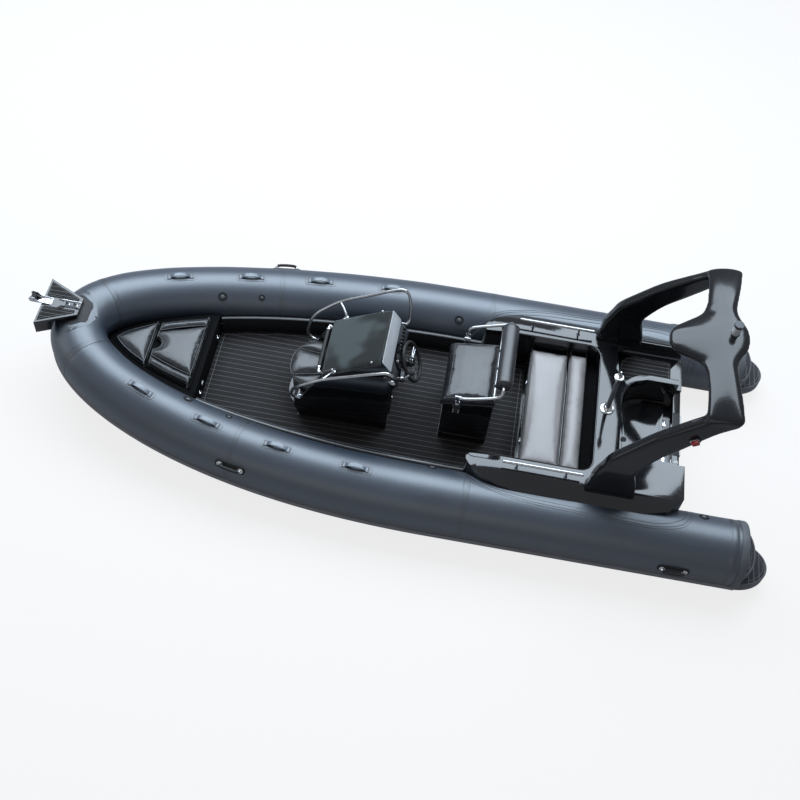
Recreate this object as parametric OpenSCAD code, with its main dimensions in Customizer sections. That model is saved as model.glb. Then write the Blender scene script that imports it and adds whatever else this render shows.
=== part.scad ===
// Open sports RIB: rigid V hull inside an inflated collar, with console, helm seat, bench and light arch.
// Frame: +X to the bow, +Y to port, +Z up, origin on the centreline at the water.

/* [Collar] */
// Half distance between the centrelines of the two side tubes
collar_half = 950; // [850:5:1080]
// Radius of the side tubes
tube_r = 265; // [225:5:310]
// Radius of the collar at the bow
bow_tube_r = 226; // [190:2:270]
// Height of the side tubes' centreline above the water
tube_z = 265; // [230:5:330]
// Rise of the collar from amidships to the bow
sheer = 205; // [120:5:300]
// Place along the boat where the collar starts to bend in
bend_x = -600; // [-900:10:-300]
// Length of the bent part of the collar
bend_len = 3120; // [2700:10:3500]
// Place of the tubes' aft ends
tube_aft_x = -3060; // [-3300:10:-2950]
// Thickness of the rub strake
strake_t = 26; // [12:1:40]

/* [Hull] */
// Depth of the keel below the water at the transom
keel_depth = 270; // [200:5:360]
// Place of the transom's aft face
transom_x = -2560; // [-2700:10:-2450]
// Height of the deck's top above the water
deck_z = 180; // [140:5:220]
// Thickness of the deck moulding
sole_t = 12; // [8:1:25]
// Thickness of the foam deck mats
mat_t = 8; // [4:1:12]
// Height of the inner side walls above the deck
side_wall_h = 170; // [110:5:210]
// Thickness of the inner side walls
side_wall_t = 45; // [25:1:60]

/* [Bow locker] */
// Distance of the locker's aft face from the bow
locker_len = 1080; // [920:10:1170]
// Height of the locker's top above the water
locker_top = 372; // [340:2:400]
// Distance from the bow of the seam between the fixed and the lifting locker top
locker_fixed = 615; // [570:5:720]
// Wall of the locker moulding
locker_wall = 16; // [8:1:25]
// Thickness of the bow cushions
bow_pad_t = 46; // [30:1:70]

/* [Console] */
// Place of the console's aft face
console_x = -145; // [-220:5:-60]
// Half width of the console
console_half = 298; // [240:2:340]
// Wall of the console moulding
console_wall = 14; // [8:1:20]
// Thickness of the windscreen
screen_t = 8; // [5:1:12]
// Radius of the console seat
front_seat_r = 262; // [220:2:290]
// Diameter of the steering wheel
wheel_d = 350; // [300:5:380]

/* [Seats] */
// Place of the helm seat's front edge
helm_x = -580; // [-640:5:-520]
// Length of the helm seat's pedestal
helm_len = 400; // [340:5:460]
// Half width of the helm seat's pedestal
helm_half = 270; // [220:2:300]
// Height of the helm seat's top above the deck
helm_h = 630; // [560:5:700]
// Thickness of the seat cushions
pad_t = 95; // [70:1:120]
// Radius of the backrest roll
roll_r = 66; // [50:1:85]
// Place of the bench's front face
bench_x = -1255; // [-1320:5:-1200]
// Half width of the bench cushions
bench_half = 590; // [500:5:600]
// Height of the bench's top above the deck
bench_h = 310; // [260:5:360]

/* [Stern] */
// Height of the coaming above the water
coaming_z = 590; // [550:5:640]
// Half width of the well between the coamings
well_half = 630; // [610:5:640]
// Outer half width of the coamings
coaming_half = 895; // [860:5:920]
// Place of the coamings' forward ends
coaming_x = -1000; // [-1060:5:-950]
// Height of the transom's top edge, where the motor clamps
motor_z = 405; // [370:5:440]
// Diameter of the ski pole
pole_d = 40; // [30:1:50]
// Height of the ski pole above its flange
pole_h = 430; // [350:5:600]

/* [Arch] */
// Height of the arch above the water
arch_z = 1690; // [1500:10:1850]
// Half width of the arch over its legs
arch_half = 810; // [760:5:830]
// Thickness of the arch legs
arch_leg_t = 95; // [70:1:120]

/* [Fittings] */
// Diameter of the stainless rails
rail_d = 25; // [20:1:30]
// Length of the carry handles on the tubes
handle_len = 190; // [150:5:240]
// Diameter of the bow towing eye's hole
eye_bore = 24; // [16:1:30]
// Diameter of the motor bolts
motor_bolt_d = 13; // [10:0.5:14]

/* [Hidden] */
$fn = 48;

gap = 0.3;           // fit between a rigid piece and an inflated or soft one
run = 6;             // clearance of a moving piece
sides = 40;          // flats round an inflated tube
flat = 360 / sides;
sole_z = deck_z - mat_t - sole_t;
bow_x = bend_x + bend_len;
locker_x = bow_x - locker_len;
locker_split = bow_x - locker_fixed;
fore = bow_x / 2520; // how far places forward of the origin move with the bow
seam_a = 72;         // bend angle of the seams between the side and bow chambers
cap_t = 40;          // rim of the stern steps

// ---- collar path: straight from the stern, then a quarter ellipse to the bow ----
function collar_z(x) = tube_z + sheer * pow(max(0, x / bow_x), 2.4);
function collar_r(x) = tube_r - (tube_r - bow_tube_r) * pow(max(0, (x - bend_x) / bend_len), 2);
function collar_at(a) = let(x = bend_x + bend_len * sin(a)) [x, collar_half * cos(a), collar_z(x)];
function unit(v) = v / norm(v);
function heading(a) = unit(collar_at(a + 0.5) - collar_at(a - 0.5));

// A station is a place on the path with its outboard and upward directions and its radius
function station(p, t) = let(n = unit([-t.y, t.x, 0])) [p, n, cross(t, n), collar_r(p.x)];
function bend_station(a) = station(collar_at(a), heading(a));
function side_station(x) = station([x, collar_half, collar_z(x)], [1, 0, 0]);
function ring(s, extra, angles) =
    [for (a = angles) s[0] + (s[3] + extra) * (cos(a) * s[1] + sin(a) * s[2])];

straight = [for (i = [0:4]) side_station(tube_aft_x + i * (bend_x - tube_aft_x) / 4)];
bend_step = 6;
port_path = concat(straight, [for (a = [bend_step:bend_step:seam_a]) bend_station(a)]);
seam = 0.03;         // bend angle left between two chambers' end faces
function off_seam(a) = a == seam_a ? a + seam : a == 180 - seam_a ? a - seam : a;
bow_path = [for (a = [seam_a:bend_step:180 - seam_a]) bend_station(off_seam(a))];
whole_path = concat(straight, [for (a = [bend_step:bend_step:180 - bend_step]) bend_station(a)],
                    [for (i = [len(straight) - 1:-1:0]) back_station(straight[i])]);
function back_station(s) = [[s[0].x, -s[0].y, s[0].z], [0, -1, 0], [0, 0, 1], s[3]];
round_angles = [for (i = [0:sides - 1]) i * flat];

// Skin through rings of equal length, closed at both ends
module loft(rings) {
    n = len(rings[0]);
    m = len(rings);
    walls = [for (j = [0:m - 2], i = [0:n - 1], k = [0, 1])
        let(a = j * n + i, b = j * n + (i + 1) % n, c = a + n, d = b + n)
        k == 0 ? [a, d, b] : [a, c, d]];
    ends = [[for (i = [0:n - 1]) i], [for (i = [n - 1:-1:0]) (m - 1) * n + i]];
    polyhedron([for (r = rings) each r], concat(walls, ends), convexity = 8);
}
module tube(path, extra = 0) loft([for (s = path) ring(s, extra, round_angles)]);
module side_tubes(extra) both_sides() translate([tube_aft_x - 50, collar_half, tube_z])
    rotate([0, 90, 0]) cylinder(r = tube_r + extra, h = bend_x - tube_aft_x + 50, $fn = 96);
module both_sides() {
    children();
    mirror([0, 1, 0]) children();
}

// Bent tube: a curve through the points with rings square to it
function curve(p, n = 6) = [for (i = [0:len(p) - 2], k = [0:n - 1])
    let(a = p[max(i - 1, 0)], b = p[i], c = p[i + 1], d = p[min(i + 2, len(p) - 1)], t = k / n)
    0.5 * (2 * b + (c - a) * t + (2 * a - 5 * b + 4 * c - d) * t * t + (3 * b - a - 3 * c + d) * t * t * t),
    p[len(p) - 1]];
function slopes(p) = [for (i = [0:len(p) - 1]) unit(p[min(i + 1, len(p) - 1)] - p[max(i - 1, 0)])];
function carried(t, i, n) = let(m = unit(n - (n * t[i]) * t[i]))
    i == len(t) - 1 ? [m] : concat([m], carried(t, i + 1, m));
module pipe(points, d, sides = 12) {
    t = slopes(points);
    n = carried(t, 0, abs(t[0].y) > 0.9 ? [0, 0, 1] : [0, 1, 0]);
    loft([for (i = [0:len(points) - 1]) [for (k = [0:sides - 1]) let(a = k * 360 / sides)
        points[i] + d / 2 * (cos(a) * n[i] + sin(a) * cross(t[i], n[i]))]]);
}
module plate_xy(x0, x1, y0, y1, z0, z1) translate([x0, y0, z0]) cube([x1 - x0, y1 - y0, z1 - z0]);

// ---- hull: V bottom, chines, and a seat that follows the collar from below ----
rise_x = 500 * fore;
function keel_z(x) = -keel_depth
    + (keel_depth + stem_low) * pow(max(0, (x - rise_x) / (stem_x - rise_x)), 2.8);
function path_angle(x) = x <= bend_x ? 0 : asin(min(1, (x - bend_x) / bend_len));
function path_y(x) = collar_half * cos(path_angle(x));
function outboard(x) = let(h = heading(path_angle(x))) max(0.2, abs(h.x) / norm([h.x, h.y]));
locker_tip = bow_x - bow_tube_r + 2;
stem_x = bow_x - 80;
stem_start = bow_x - 480;
stem_low = 145;
stem_edge = 186;
function seat_gap(x) = 2 + 7 * pow(max(0, x / bow_x), 3);
function touch(x) = asin(min(1, (collar_z(x) - sole_z) / (collar_r(x) + seat_gap(x))));
// Points where the hull follows the tube, from the deck down to the chine
function seat(x) = let(r = collar_r(x) + seat_gap(x), a0 = touch(x), a1 = max(60, a0 + 6))
    [for (k = [3:-1:0]) let(a = a0 + (a1 - a0) * k / 3)
        [x, path_y(x) - r / outboard(x) * cos(a), collar_z(x) - r * sin(a)]];
// Forward of the deck the hull narrows to the stem under the bow tube
function stem(x) = let(t = x < locker_tip ? sole_z : stem_edge,
                       y = 425 * sqrt(max(0.01, 1 - pow((x - stem_start) / 415, 2))))
    [for (k = [3:-1:0]) [x, y * (1 - 0.02 * k), t - 6 * k]];
function crown(x) = [x, 0, x < locker_tip ? sole_z : collar_z(bow_x) - bow_tube_r - 3];
function edge_line(x) = x < bow_x - 420 ? seat(x) : stem(x);
function hull_half(x) = let(e = edge_line(x), low = e[0], k = keel_z(x))
    concat([[x, low.y * 0.9, k + (low.z - k) * 0.62], [x, low.y, k + (low.z - k) * 0.8]], e);
hull_stations = concat([transom_x, -1900, -1200, -600, -200],
    [for (x = [200, 600, 950, 1250, 1500, 1720, 1900, 2050]) x * fore],
    [bow_x - 340, locker_tip - 1, locker_tip + 6, stem_x - 70, stem_x]);
function other_side(v) = [for (i = [len(v) - 1:-1:0]) [v[i].x, -v[i].y, v[i].z]];
module hull() color("#20242b") loft([for (x = hull_stations) let(h = hull_half(x))
    concat([[x, 0, keel_z(x)]], h, [crown(x)], other_side(h))]);

// ---- inner moulding and mats ----
// Plan outline of the space inside the collar, a distance d clear of it
function inner_line(d) = concat([[tube_aft_x, collar_half - tube_r - d]],
    [for (a = [0:bend_step:84])
        let(h = heading(a), p = collar_at(a), n = unit([-h.y, h.x]), r = collar_r(p.x) + d,
            q = [p.x - r * n.x, p.y - r * n.y])
        if (q.y > 10) q]);
module inboard_area(d) polygon(concat(inner_line(d), [for (p = reverse(inner_line(d))) [p.x, -p.y]]));
function reverse(v) = [for (i = [len(v) - 1:-1:0]) v[i]];

module deck_liner() color("#2b3037") intersection() {
    union() {
        translate([0, 0, sole_z]) linear_extrude(sole_t) inboard_area(gap);
        translate([0, 0, sole_z]) linear_extrude(side_wall_h + sole_t + mat_t) difference() {
            inboard_area(gap);
            inboard_area(side_wall_t);
        }
    }
    plate_xy(coaming_x + gap, locker_x - gap, -1200, 1200, sole_z - 1, 900);
}
module deck_mat() color("#2a2b2e") {
    translate([0, 0, deck_z - mat_t]) linear_extrude(mat_t) difference() {
        intersection() {
            inboard_area(side_wall_t + 12);
            translate([bench_x + 12, -900]) square([locker_x - bench_x - 24, 1800]);
            union() {
                translate([bench_x, -well_half + 12]) square([3000, 2 * well_half - 24]);
                translate([coaming_x + 12, -900]) square([3000, 1800]);
            }
        }
        translate([console_x - 2, -console_half - 2]) square([2 * 376, 2 * console_half + 4]);
        translate([front_seat_x, 0]) circle(r = front_seat_r + 2);
        translate([helm_x - helm_len - 2, -helm_half - 2]) square([helm_len + 4, 2 * helm_half + 4]);
    }
}

// ---- collar ----
module tube_port() color("#3b424c") tube(port_path);
module tube_starboard() color("#3b424c") mirror([0, 1, 0]) tube(port_path);
module tube_bow() color("#3b424c") tube(bow_path);
strake_low = -4 * flat;
module rub_strake() color("#6d737b") loft([for (s = whole_path) concat(
    ring(s, strake_t * 0.6, [strake_low]),
    ring(s, strake_t, [strake_low + flat]),
    ring(s, strake_t * 0.6, [strake_low + 2 * flat]),
    ring(s, 0.9, [strake_low + 2 * flat, strake_low + flat, strake_low]))]);

// ---- stern steps on the tube ends ----
step_len = 300;
module half_oval(rx, ry) polygon([for (a = [90:7.5:270]) [rx * cos(a), ry * sin(a)]]);
module stern_step() {
    translate([tube_aft_x - gap, collar_half, tube_z]) rotate([0, -90, 0])
        cylinder(r = tube_r + 4, h = cap_t, $fn = 64);
    translate([tube_aft_x - gap - cap_t + 1, collar_half, tube_z - 30])
        linear_extrude(95) half_oval(step_len * 0.4, tube_r - 40);
    translate([tube_aft_x - gap - cap_t + 1, collar_half + 20, tube_z - 190])
        linear_extrude(95) half_oval(step_len - cap_t, tube_r - 62);
}
module stern_step_port() color("#8b9097") stern_step();
module stern_step_starboard() color("#8b9097") mirror([0, 1, 0]) stern_step();

// ---- bow fittings ----
plate_top = 739;
plate_front = bow_x + 275;
plate_back = bow_x - 40;
module bow_step() color("#25282c") difference() {
    translate([0, 0, plate_top - 130]) linear_extrude(130)
        polygon([[plate_back, -88], [plate_back, 88], [plate_front, 238], [plate_front, -238]]);
    tube(bow_path, gap);
    translate([0, 0, -500]) linear_extrude(500 + plate_top - 29) circle(r = plate_front - 105, $fn = 128);
}
roller_x = plate_front + 67;
module bow_roller_bracket() color("#c9ccd0") {
    difference() {
        plate_xy(roller_x - 222, roller_x + 38, -36, 36, plate_top, plate_top + 62);
        plate_xy(roller_x - 262, roller_x + 88, -31, 31, plate_top + 5, plate_top + 80);
        translate([roller_x, 0, plate_top + 36]) rotate([90, 0, 0])
            cylinder(d = 12.4, h = 100, center = true);
        translate([roller_x - 222, -50, plate_top + 22]) rotate([0, -13, 0]) cube([190, 100, 80]);
    }
}
module bow_roller() color("#17181a") translate([roller_x, 0, plate_top + 36]) rotate([90, 0, 0]) {
    rotate_extrude() polygon([[0, -42], [6, -42], [6, -25], [26, -25], [18, 0],
        [26, 25], [6, 25], [6, 42], [0, 42]]);
}
module bow_cleat() color("#d4d6d9") {
    translate([plate_back + 65, 0, plate_top]) {
        plate_xy(-62, 62, -22, 22, 0, 5);
        for (s = [-1, 1]) translate([s * 32, 0, 4]) cylinder(d = 16, h = 40);
        translate([-95, 0, 48]) rotate([0, 90, 0]) cylinder(d = 17, h = 190);
    }
}
module towing_eye() color("#c9ccd0") {
    translate([towing_x, 0, towing_z]) rotate([90, 0, 0]) difference() {
        union() {
            cylinder(d = eye_bore + 24, h = 14, center = true);
            translate([-towing_x + stem_x + gap, -12, -7]) cube([towing_x - stem_x - gap, 24, 14]);
        }
        cylinder(d = eye_bore, h = 20, center = true);
    }
}
towing_x = stem_x + 40;
towing_z = 178;

// ---- bow locker ----
module locker_area(x0, d) intersection() {
    inboard_area(d);
    translate([x0, -900]) square([bow_x - x0, 1800]);
}
module bow_locker() color("#1b1d21") difference() {
    translate([0, 0, sole_z]) linear_extrude(locker_top - sole_z) locker_area(locker_x, gap);
    translate([0, 0, sole_z + 12]) linear_extrude(locker_top) intersection() {
        locker_area(locker_x + locker_wall, side_wall_t + 40);
        translate([locker_x, -900]) square([locker_split - 60 - locker_x, 1800]);
    }
}
module bow_lid() color("#202329") translate([0, 0, locker_top + gap]) linear_extrude(14) difference() {
    intersection() {
        inboard_area(side_wall_t + 26);
        translate([locker_x + 50, -900]) square([locker_split - locker_x - 56, 1800]);
    }
    translate([locker_split, 0]) circle(r = 62);
}
module bow_cushion_aft() color("#4a515c")
    translate([0, 0, locker_top + gap + 14 + gap]) linear_extrude(bow_pad_t) difference() {
        intersection() {
            inboard_area(side_wall_t + 38);
            translate([locker_x + 62, -900]) square([locker_split - locker_x - 72, 1800]);
        }
        translate([locker_split, 0]) circle(r = 66);
    }
module bow_cushion_forward() color("#4a515c")
    translate([0, 0, locker_top + gap]) linear_extrude(bow_pad_t + 14) intersection() {
        inboard_area(side_wall_t + 20);
        translate([locker_split + 6, -900]) square([bow_x - locker_split, 1800]);
    }

// ---- console ----
front_seat_x = 470;
seat_z = deck_z + 272;
side_outline = [[console_x, deck_z - mat_t], [590, deck_z - mat_t], [634, 300], [634, 432], [559, 469],
    [502, 585], [421, 700], [180, 818], [-80, 893], [console_x, 860]];
module across(w) rotate([90, 0, 0]) translate([0, 0, -w]) linear_extrude(2 * w) children();
screen_low = [405, 782];
screen_high = [-55, 1050];
screen_pitch = atan2(screen_high.y - screen_low.y, screen_low.x - screen_high.x);
module console() color("#1a1c20") difference() {
    union() {
        across(console_half) polygon(side_outline);
        translate([front_seat_x, 0, deck_z - mat_t])
            cylinder(r = front_seat_r - 30, h = seat_z - deck_z + mat_t, $fn = 64);
        across(console_half - 40) polygon([[415, 600], screen_low + [0, -gap / cos(screen_pitch)],
            screen_high + [0, -gap / cos(screen_pitch)], [-133, 935], [-205, 826], [console_x, 640]]);
    }
    // seat bay
    plate_xy(425, 800, -front_seat_r - run, front_seat_r + run, seat_z, 900);
    // hollow inside, open under the seat lid
    across(console_half - console_wall) polygon([[console_x + console_wall, deck_z], [425 + 100, deck_z],
        [425 + 100, seat_z - 40], [405, 640], [170, 790], [console_x + console_wall, 820]]);
    translate([front_seat_x, 0, deck_z]) cylinder(r = front_seat_r - 46, h = seat_z, $fn = 64);
}
module seat_shape(r) intersection() {
    translate([front_seat_x, 0]) circle(r = r, $fn = 64);
    translate([430, -400]) square([500, 800]);
}
module console_lid() color("#202329")
    translate([0, 0, seat_z + gap]) linear_extrude(12) seat_shape(front_seat_r - 14);
module console_cushion() color("#4a515c")
    translate([0, 0, seat_z + 12 + 2 * gap]) linear_extrude(86) seat_shape(front_seat_r - 4);
module windscreen() color("#2f3338", 0.6)
    translate([screen_low.x, 0, screen_low.y]) rotate([0, screen_pitch, 0]) translate([-510, 0, 0])
        linear_extrude(screen_t) polygon([[0, -300], [0, 300], [505, 272], [505, -272]]);
module console_rail_port() color("#c9ccd0") pipe(curve(console_rail), rail_d);
module console_rail_starboard() color("#c9ccd0") mirror([0, 1, 0]) pipe(curve(console_rail), rail_d);
console_rail = [[585, console_half + rail_d / 2 + gap, 400], [600, 370, 600], [520, 395, 770],
    [380, 407, 881], [140, 418, 1010], [-107, 428, 1134],
    [-180, 410, 1090], [-200, 340, 880], [-155, 300, 840]];
module grab_bar() color("#c9ccd0") {
    translate([450, -245, 745]) rotate([-90, 0, 0]) cylinder(d = 38, h = 490);
    for (s = [-1, 1]) translate([408.8, s * 200, 735]) rotate([0, 90, 0]) cylinder(d = 20, h = 34);
}
wheel_at = [-275, 0, 770];
wheel_tilt = 62;
module at_wheel() translate(wheel_at) rotate([0, -wheel_tilt, 0]) children();
module steering_column() color("#26282b") at_wheel() translate([0, 0, -84]) cylinder(d = 70, h = 62 - gap);
module steering_wheel() color("#17181a") at_wheel() {
    rotate_extrude($fn = 64) translate([wheel_d / 2 - 16, 0]) circle(d = 28, $fn = 24);
    translate([0, 0, -22 + gap]) cylinder(d = 84, h = 36);
    for (a = [0:120:240]) rotate(a + 30) translate([30, -13, -6]) cube([wheel_d / 2 - 44, 26, 12]);
}
module throttle() color("#26282b") {
    plate_xy(-240, -205.5, 165, 225, 770, 850);
    translate([-232, 195, 830]) rotate([0, -60, 0]) cylinder(d = 14, h = 90);
}

// ---- helm seat ----
module pivot_brackets() for (s = [-1, 1]) scale([1, s, 1]) {
    plate_xy(pivot_x - 25, pivot_x + 25, helm_half + gap, helm_half + 34, 600, 640);
    plate_xy(pivot_x - 25, pivot_x + 25, helm_half + 26, helm_half + 34, 600, pivot_z + 22);
    translate([pivot_x, helm_half + 30, pivot_z]) rotate([-90, 0, 0])
        cylinder(d = 20, h = arm_y - axle_r - gap - helm_half - 30);
}
helm_wall = 16;
pan_t = 16;
helm_aft_x = helm_x - helm_len;
function helm_top(x) = seat_under + (helm_x - x) * 60 / helm_len;
// Outline of the pedestal from the side, drawn in by d, its top a given drop below the cushion
module pedestal_side(d, bottom, drop) polygon([
    [helm_x - d, bottom], [helm_x - d, helm_top(helm_x - d) - drop],
    [helm_aft_x + d, helm_top(helm_aft_x + d) - drop], [helm_aft_x + d, bottom]]);
module helm_pedestal() color("#16171a") difference() {
    across(helm_half) pedestal_side(0, deck_z - mat_t, pan_t + gap);
    across(helm_half - helm_wall) pedestal_side(helm_wall, deck_z - mat_t - 1, -50);
}
module helm_seat_pan() color("#16171a") across(helm_half) polygon([
    [helm_x, helm_top(helm_x)], [helm_x, helm_top(helm_x) - pan_t],
    [helm_aft_x, helm_top(helm_aft_x) - pan_t], [helm_aft_x, helm_top(helm_aft_x)]]);
module backrest_pivots() color("#c9ccd0") pivot_brackets();
seat_under = deck_z + helm_h - pad_t - 40;
module helm_cushion() color("#4a515c") across(helm_half + 20) polygon([
    [helm_x + 14, seat_under - 26], [helm_x + 30, seat_under + 30], [helm_x - 20, seat_under + pad_t],
    [helm_aft_x + 20, seat_under + pad_t + 50], [helm_aft_x - 2, seat_under + pad_t + 20],
    [helm_aft_x - 2, helm_top(helm_aft_x) + gap], [helm_x + gap, seat_under + gap],
    [helm_x + gap, seat_under - 26]]);
pivot_x = -690;
pivot_z = 800;
roll_x = -1020;
roll_z = 1045;
arm_y = 345;
axle_r = rail_d / 2;
bend_r = 45;
arm_end = [roll_x, arm_y, roll_z];
arm_mid = [-880, arm_y, 970];
arm_way = unit(arm_end - arm_mid);
frame_side = concat(
    curve([[pivot_x, arm_y, pivot_z - 14], [pivot_x - 4, arm_y, pivot_z + 45],
           [pivot_x - 55, arm_y, pivot_z + 110], arm_mid], 4),
    [for (t = [0:15:90]) arm_end - bend_r * (1 - sin(t)) * arm_way - bend_r * (1 - cos(t)) * [0, 1, 0]]);
module backrest_frame() color("#c9ccd0") {
    pipe(concat(frame_side, other_side(frame_side)), rail_d);
    translate([-880, -arm_y + rail_d / 2 + gap, 970]) rotate([-90, 0, 0])
        cylinder(d = rail_d - 6, h = 2 * arm_y - rail_d - 2 * gap);
}
module backrest_roll() color("#3a3f47") translate([roll_x, -300, roll_z]) rotate([-90, 0, 0]) difference() {
    cylinder(r = roll_r, h = 600);
    translate([0, 0, -1]) cylinder(r = axle_r + gap, h = 602);
}

// ---- stern module ----
well_x = -2030;
bench_back_x = -1830;
pole_x = -1912;
coaming_plan = [[transom_x, coaming_half - 155], [-2450, coaming_half - 45], [-2250, coaming_half],
    [-1300, coaming_half], [coaming_x - 100, coaming_half - 25], [coaming_x, coaming_half - 60]];
nose_plan = [[coaming_x - 1, coaming_half - 60], [coaming_x + 70, coaming_half - 105],
    [coaming_x + 140, coaming_half - 160], [coaming_x + 170, coaming_half - 205],
    [coaming_x + 172, well_half + 30],
    [coaming_x + 150, well_half + 4], [coaming_x - 1, well_half]];
module stern_module() color("#1d2025") difference() {
    union() {
        translate([0, 0, sole_z + sole_t]) linear_extrude(coaming_z - sole_z - sole_t)
            polygon(concat(coaming_plan, [for (p = reverse(coaming_plan)) [p.x, -p.y]]));
        both_sides() translate([0, 0, deck_z + side_wall_h + 10])
            linear_extrude(coaming_z - deck_z - side_wall_h - 10) polygon(nose_plan);
    }
    side_tubes(gap);
    // cockpit between the coamings
    plate_xy(bench_x, coaming_x + 10, -well_half, well_half, sole_z, coaming_z + 10);
    plate_xy(bench_back_x, bench_x + 1, -well_half, well_half, bench_lid_z - gap, coaming_z + 10);
    // locker under the bench
    plate_xy(-1560, bench_x - 16, -well_half + 60, well_half - 60, sole_z + sole_t + 12, coaming_z);
    // motor well
    translate([0, 0, 300]) linear_extrude(400) polygon(well_plan);
    plate_xy(transom_x - 10, transom_x + 61, -430, 430, motor_z, coaming_z + 10);
    // step-through recess beside the well
    translate([0, 0, 440]) linear_extrude(400) polygon(recess_plan);
}
// Motor well: square to port, a wide sweep to starboard that the step-through follows
function sweep(c, r, a0, a1) = [for (a = [a0:(a1 - a0) / 8:a1]) c + r * [cos(a), sin(a)]];
well_plan = concat([[transom_x + 60, 420], [transom_x + 60, -370]], sweep([well_x - 250, -120], 250, -90, 0),
    sweep([well_x - 60, 360], 60, 0, 90));
recess_plan = concat([[transom_x - 10, -760], [transom_x - 10, -420]],
    sweep([well_x - 250, -120], 300, -92, -40), [[-1990, -400]], sweep([-2080, -650], 110, 0, -90));
bench_lid_z = deck_z + bench_h - 100;
module bench_lid() color("#202329")
    plate_xy(-1580, bench_x, -bench_half, bench_half, bench_lid_z, bench_lid_z + 14);
module bench_cushion() color("#4a515c")
    plate_xy(-1575, bench_x + 4, -bench_half, bench_half, bench_lid_z + 14 + gap, bench_lid_z + 100);
module bench_back_cushion() color("#4a515c")
    plate_xy(-1736, -1590, -bench_half, bench_half, bench_lid_z, bench_lid_z + 112);
coaming_rail_z = 664;
module coaming_rail_shape() {
    translate([-1745, 724, coaming_rail_z]) rotate([0, 90, 0]) cylinder(d = rail_d, h = 630);
    for (x = [-1621, -1231]) translate([x, 724, coaming_z + gap]) {
        cylinder(d = 16, h = coaming_rail_z - coaming_z);
        cylinder(d = 44, h = 5);
    }
}
module coaming_rail_port() color("#c9ccd0") coaming_rail_shape();
module coaming_rail_starboard() color("#c9ccd0") mirror([0, 1, 0]) coaming_rail_shape();
module ski_pole() color("#b9bcc0") translate([pole_x, 0, coaming_z]) {
    cylinder(d = 118, h = 10);
    cylinder(d = pole_d, h = pole_h);
    translate([0, 0, pole_h - 2]) cylinder(d = 78, h = 22);
    translate([0, 0, pole_h + 18]) cylinder(d = 14, h = 60);
}
module motor_plate() color("#e6e8ea") difference() {
    plate_xy(transom_x - 12, transom_x - gap, -200, 200, 60, motor_z - 5);
    for (z = [110, 110 + 203.2], s = [-1, 1]) translate([transom_x - 20, s * 327 / 2, z])
        rotate([0, 90, 0]) cylinder(d = motor_bolt_d, h = 40);
}

// ---- arch ----
leg_y = arch_half - arch_leg_t / 2;
function blend(p, q, r, t) = (1 - t) * (1 - t) * p + 2 * t * (1 - t) * q + t * t * r;
module leg_side() polygon(concat(
    [for (t = [0:0.125:1]) blend([-1785, coaming_z], [-1810, 1140], [-2480, arch_z - 50], t)],
    [[-2560, arch_z - 20], [-2690, arch_z - 30]],
    [for (t = [0:0.125:1]) blend([-2660, arch_z - 120], [-2280, 1230], [-2105, 860], t)],
    [[-2155, 730], [-2160, coaming_z]]));
module arch() color("#15171a") {
    for (s = [-1, 1]) translate([0, s * leg_y + arch_leg_t / 2, 0])
        rotate([90, 0, 0]) linear_extrude(arch_leg_t) leg_side();
    across(leg_y - arch_leg_t / 2 + 5) polygon([[-2440, arch_z - 25], [-2540, arch_z], [-2700, arch_z - 10],
        [-2690, arch_z - 90], [-2600, arch_z - 130], [-2420, arch_z - 110]]);
    translate([0, 0, arch_z - 215]) linear_extrude(190)
        polygon([[-2470, -260], [-2380, -230], [-2160, -60], [-2150, 0],
            [-2160, 60], [-2380, 230], [-2470, 260]]);
}
module navigation_lights() color("#33363a")
    for (s = [-1, 1]) translate([-2405, s * (arch_half + gap + 18), 1420]) cube([70, 36, 44], center = true);
module masthead_light() color("#e8e9ea") translate([-2612, -60, arch_z - 2]) {
    cylinder(d = 60, h = 90);
    translate([0, 0, 88]) cylinder(d = 74, h = 30);
}

// ---- fittings on the collar ----
module on_collar(s, angle, extra = gap) {
    normal = cos(angle) * s[1] + sin(angle) * s[2];
    along = cross(s[1], s[2]);
    across_it = cross(normal, along);
    p = s[0] + (s[3] + extra) * normal;
    multmatrix([[along.x, across_it.x, normal.x, p.x], [along.y, across_it.y, normal.y, p.y],
                [along.z, across_it.z, normal.z, p.z]]) children();
}
module handle_loop() {
    for (s = [-1, 1]) translate([s * (handle_len / 2 - 22), 0, 0]) plate_xy(-20, 20, -26, 26, 0, 4);
    intersection() {
        translate([0, 17, -handle_len * 0.42]) rotate([90, 0, 0]) difference() {
            cylinder(r = handle_len * 0.6, h = 34, $fn = 96);
            translate([0, 0, -1]) cylinder(r = handle_len * 0.6 - 9, h = 36, $fn = 96);
        }
        plate_xy(-handle_len / 2 + 8, handle_len / 2 - 8, -40, 40, 3, 80);
    }
}
function bend_angle(x) = asin((x - bend_x) / bend_len);
function taper(x) = 2 * (tube_r - bow_tube_r) * max(0, x - bend_x) / pow(bend_len, 2);
handle_places = [10, 655 * fore, 1255 * fore, 1845 * fore];
module carry_handles() color("#59616c") both_sides()
    for (x = handle_places) on_collar(bend_station(bend_angle(x)), 90, 1.2)
        rotate([0, atan(taper(x)), 0]) handle_loop();
module side_grip() {
    for (s = [-1, 1]) translate([s * 78, 0, 0]) cylinder(d = 34, h = 30);
    translate([-78, 0, 30]) rotate([0, 90, 0]) cylinder(d = 24, h = 156);
    plate_xy(-110, 110, -24, 24, 0, 4);
}
module grab_handles() color("#1c1d1f") both_sides() {
    on_collar(bend_station(bend_angle(955 * fore)), 27) side_grip();
    on_collar(side_station(-2560), 9) side_grip();
}
module valve() {
    cylinder(d = 62, h = 5);
    cylinder(d = 40, h = 12);
}
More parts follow.
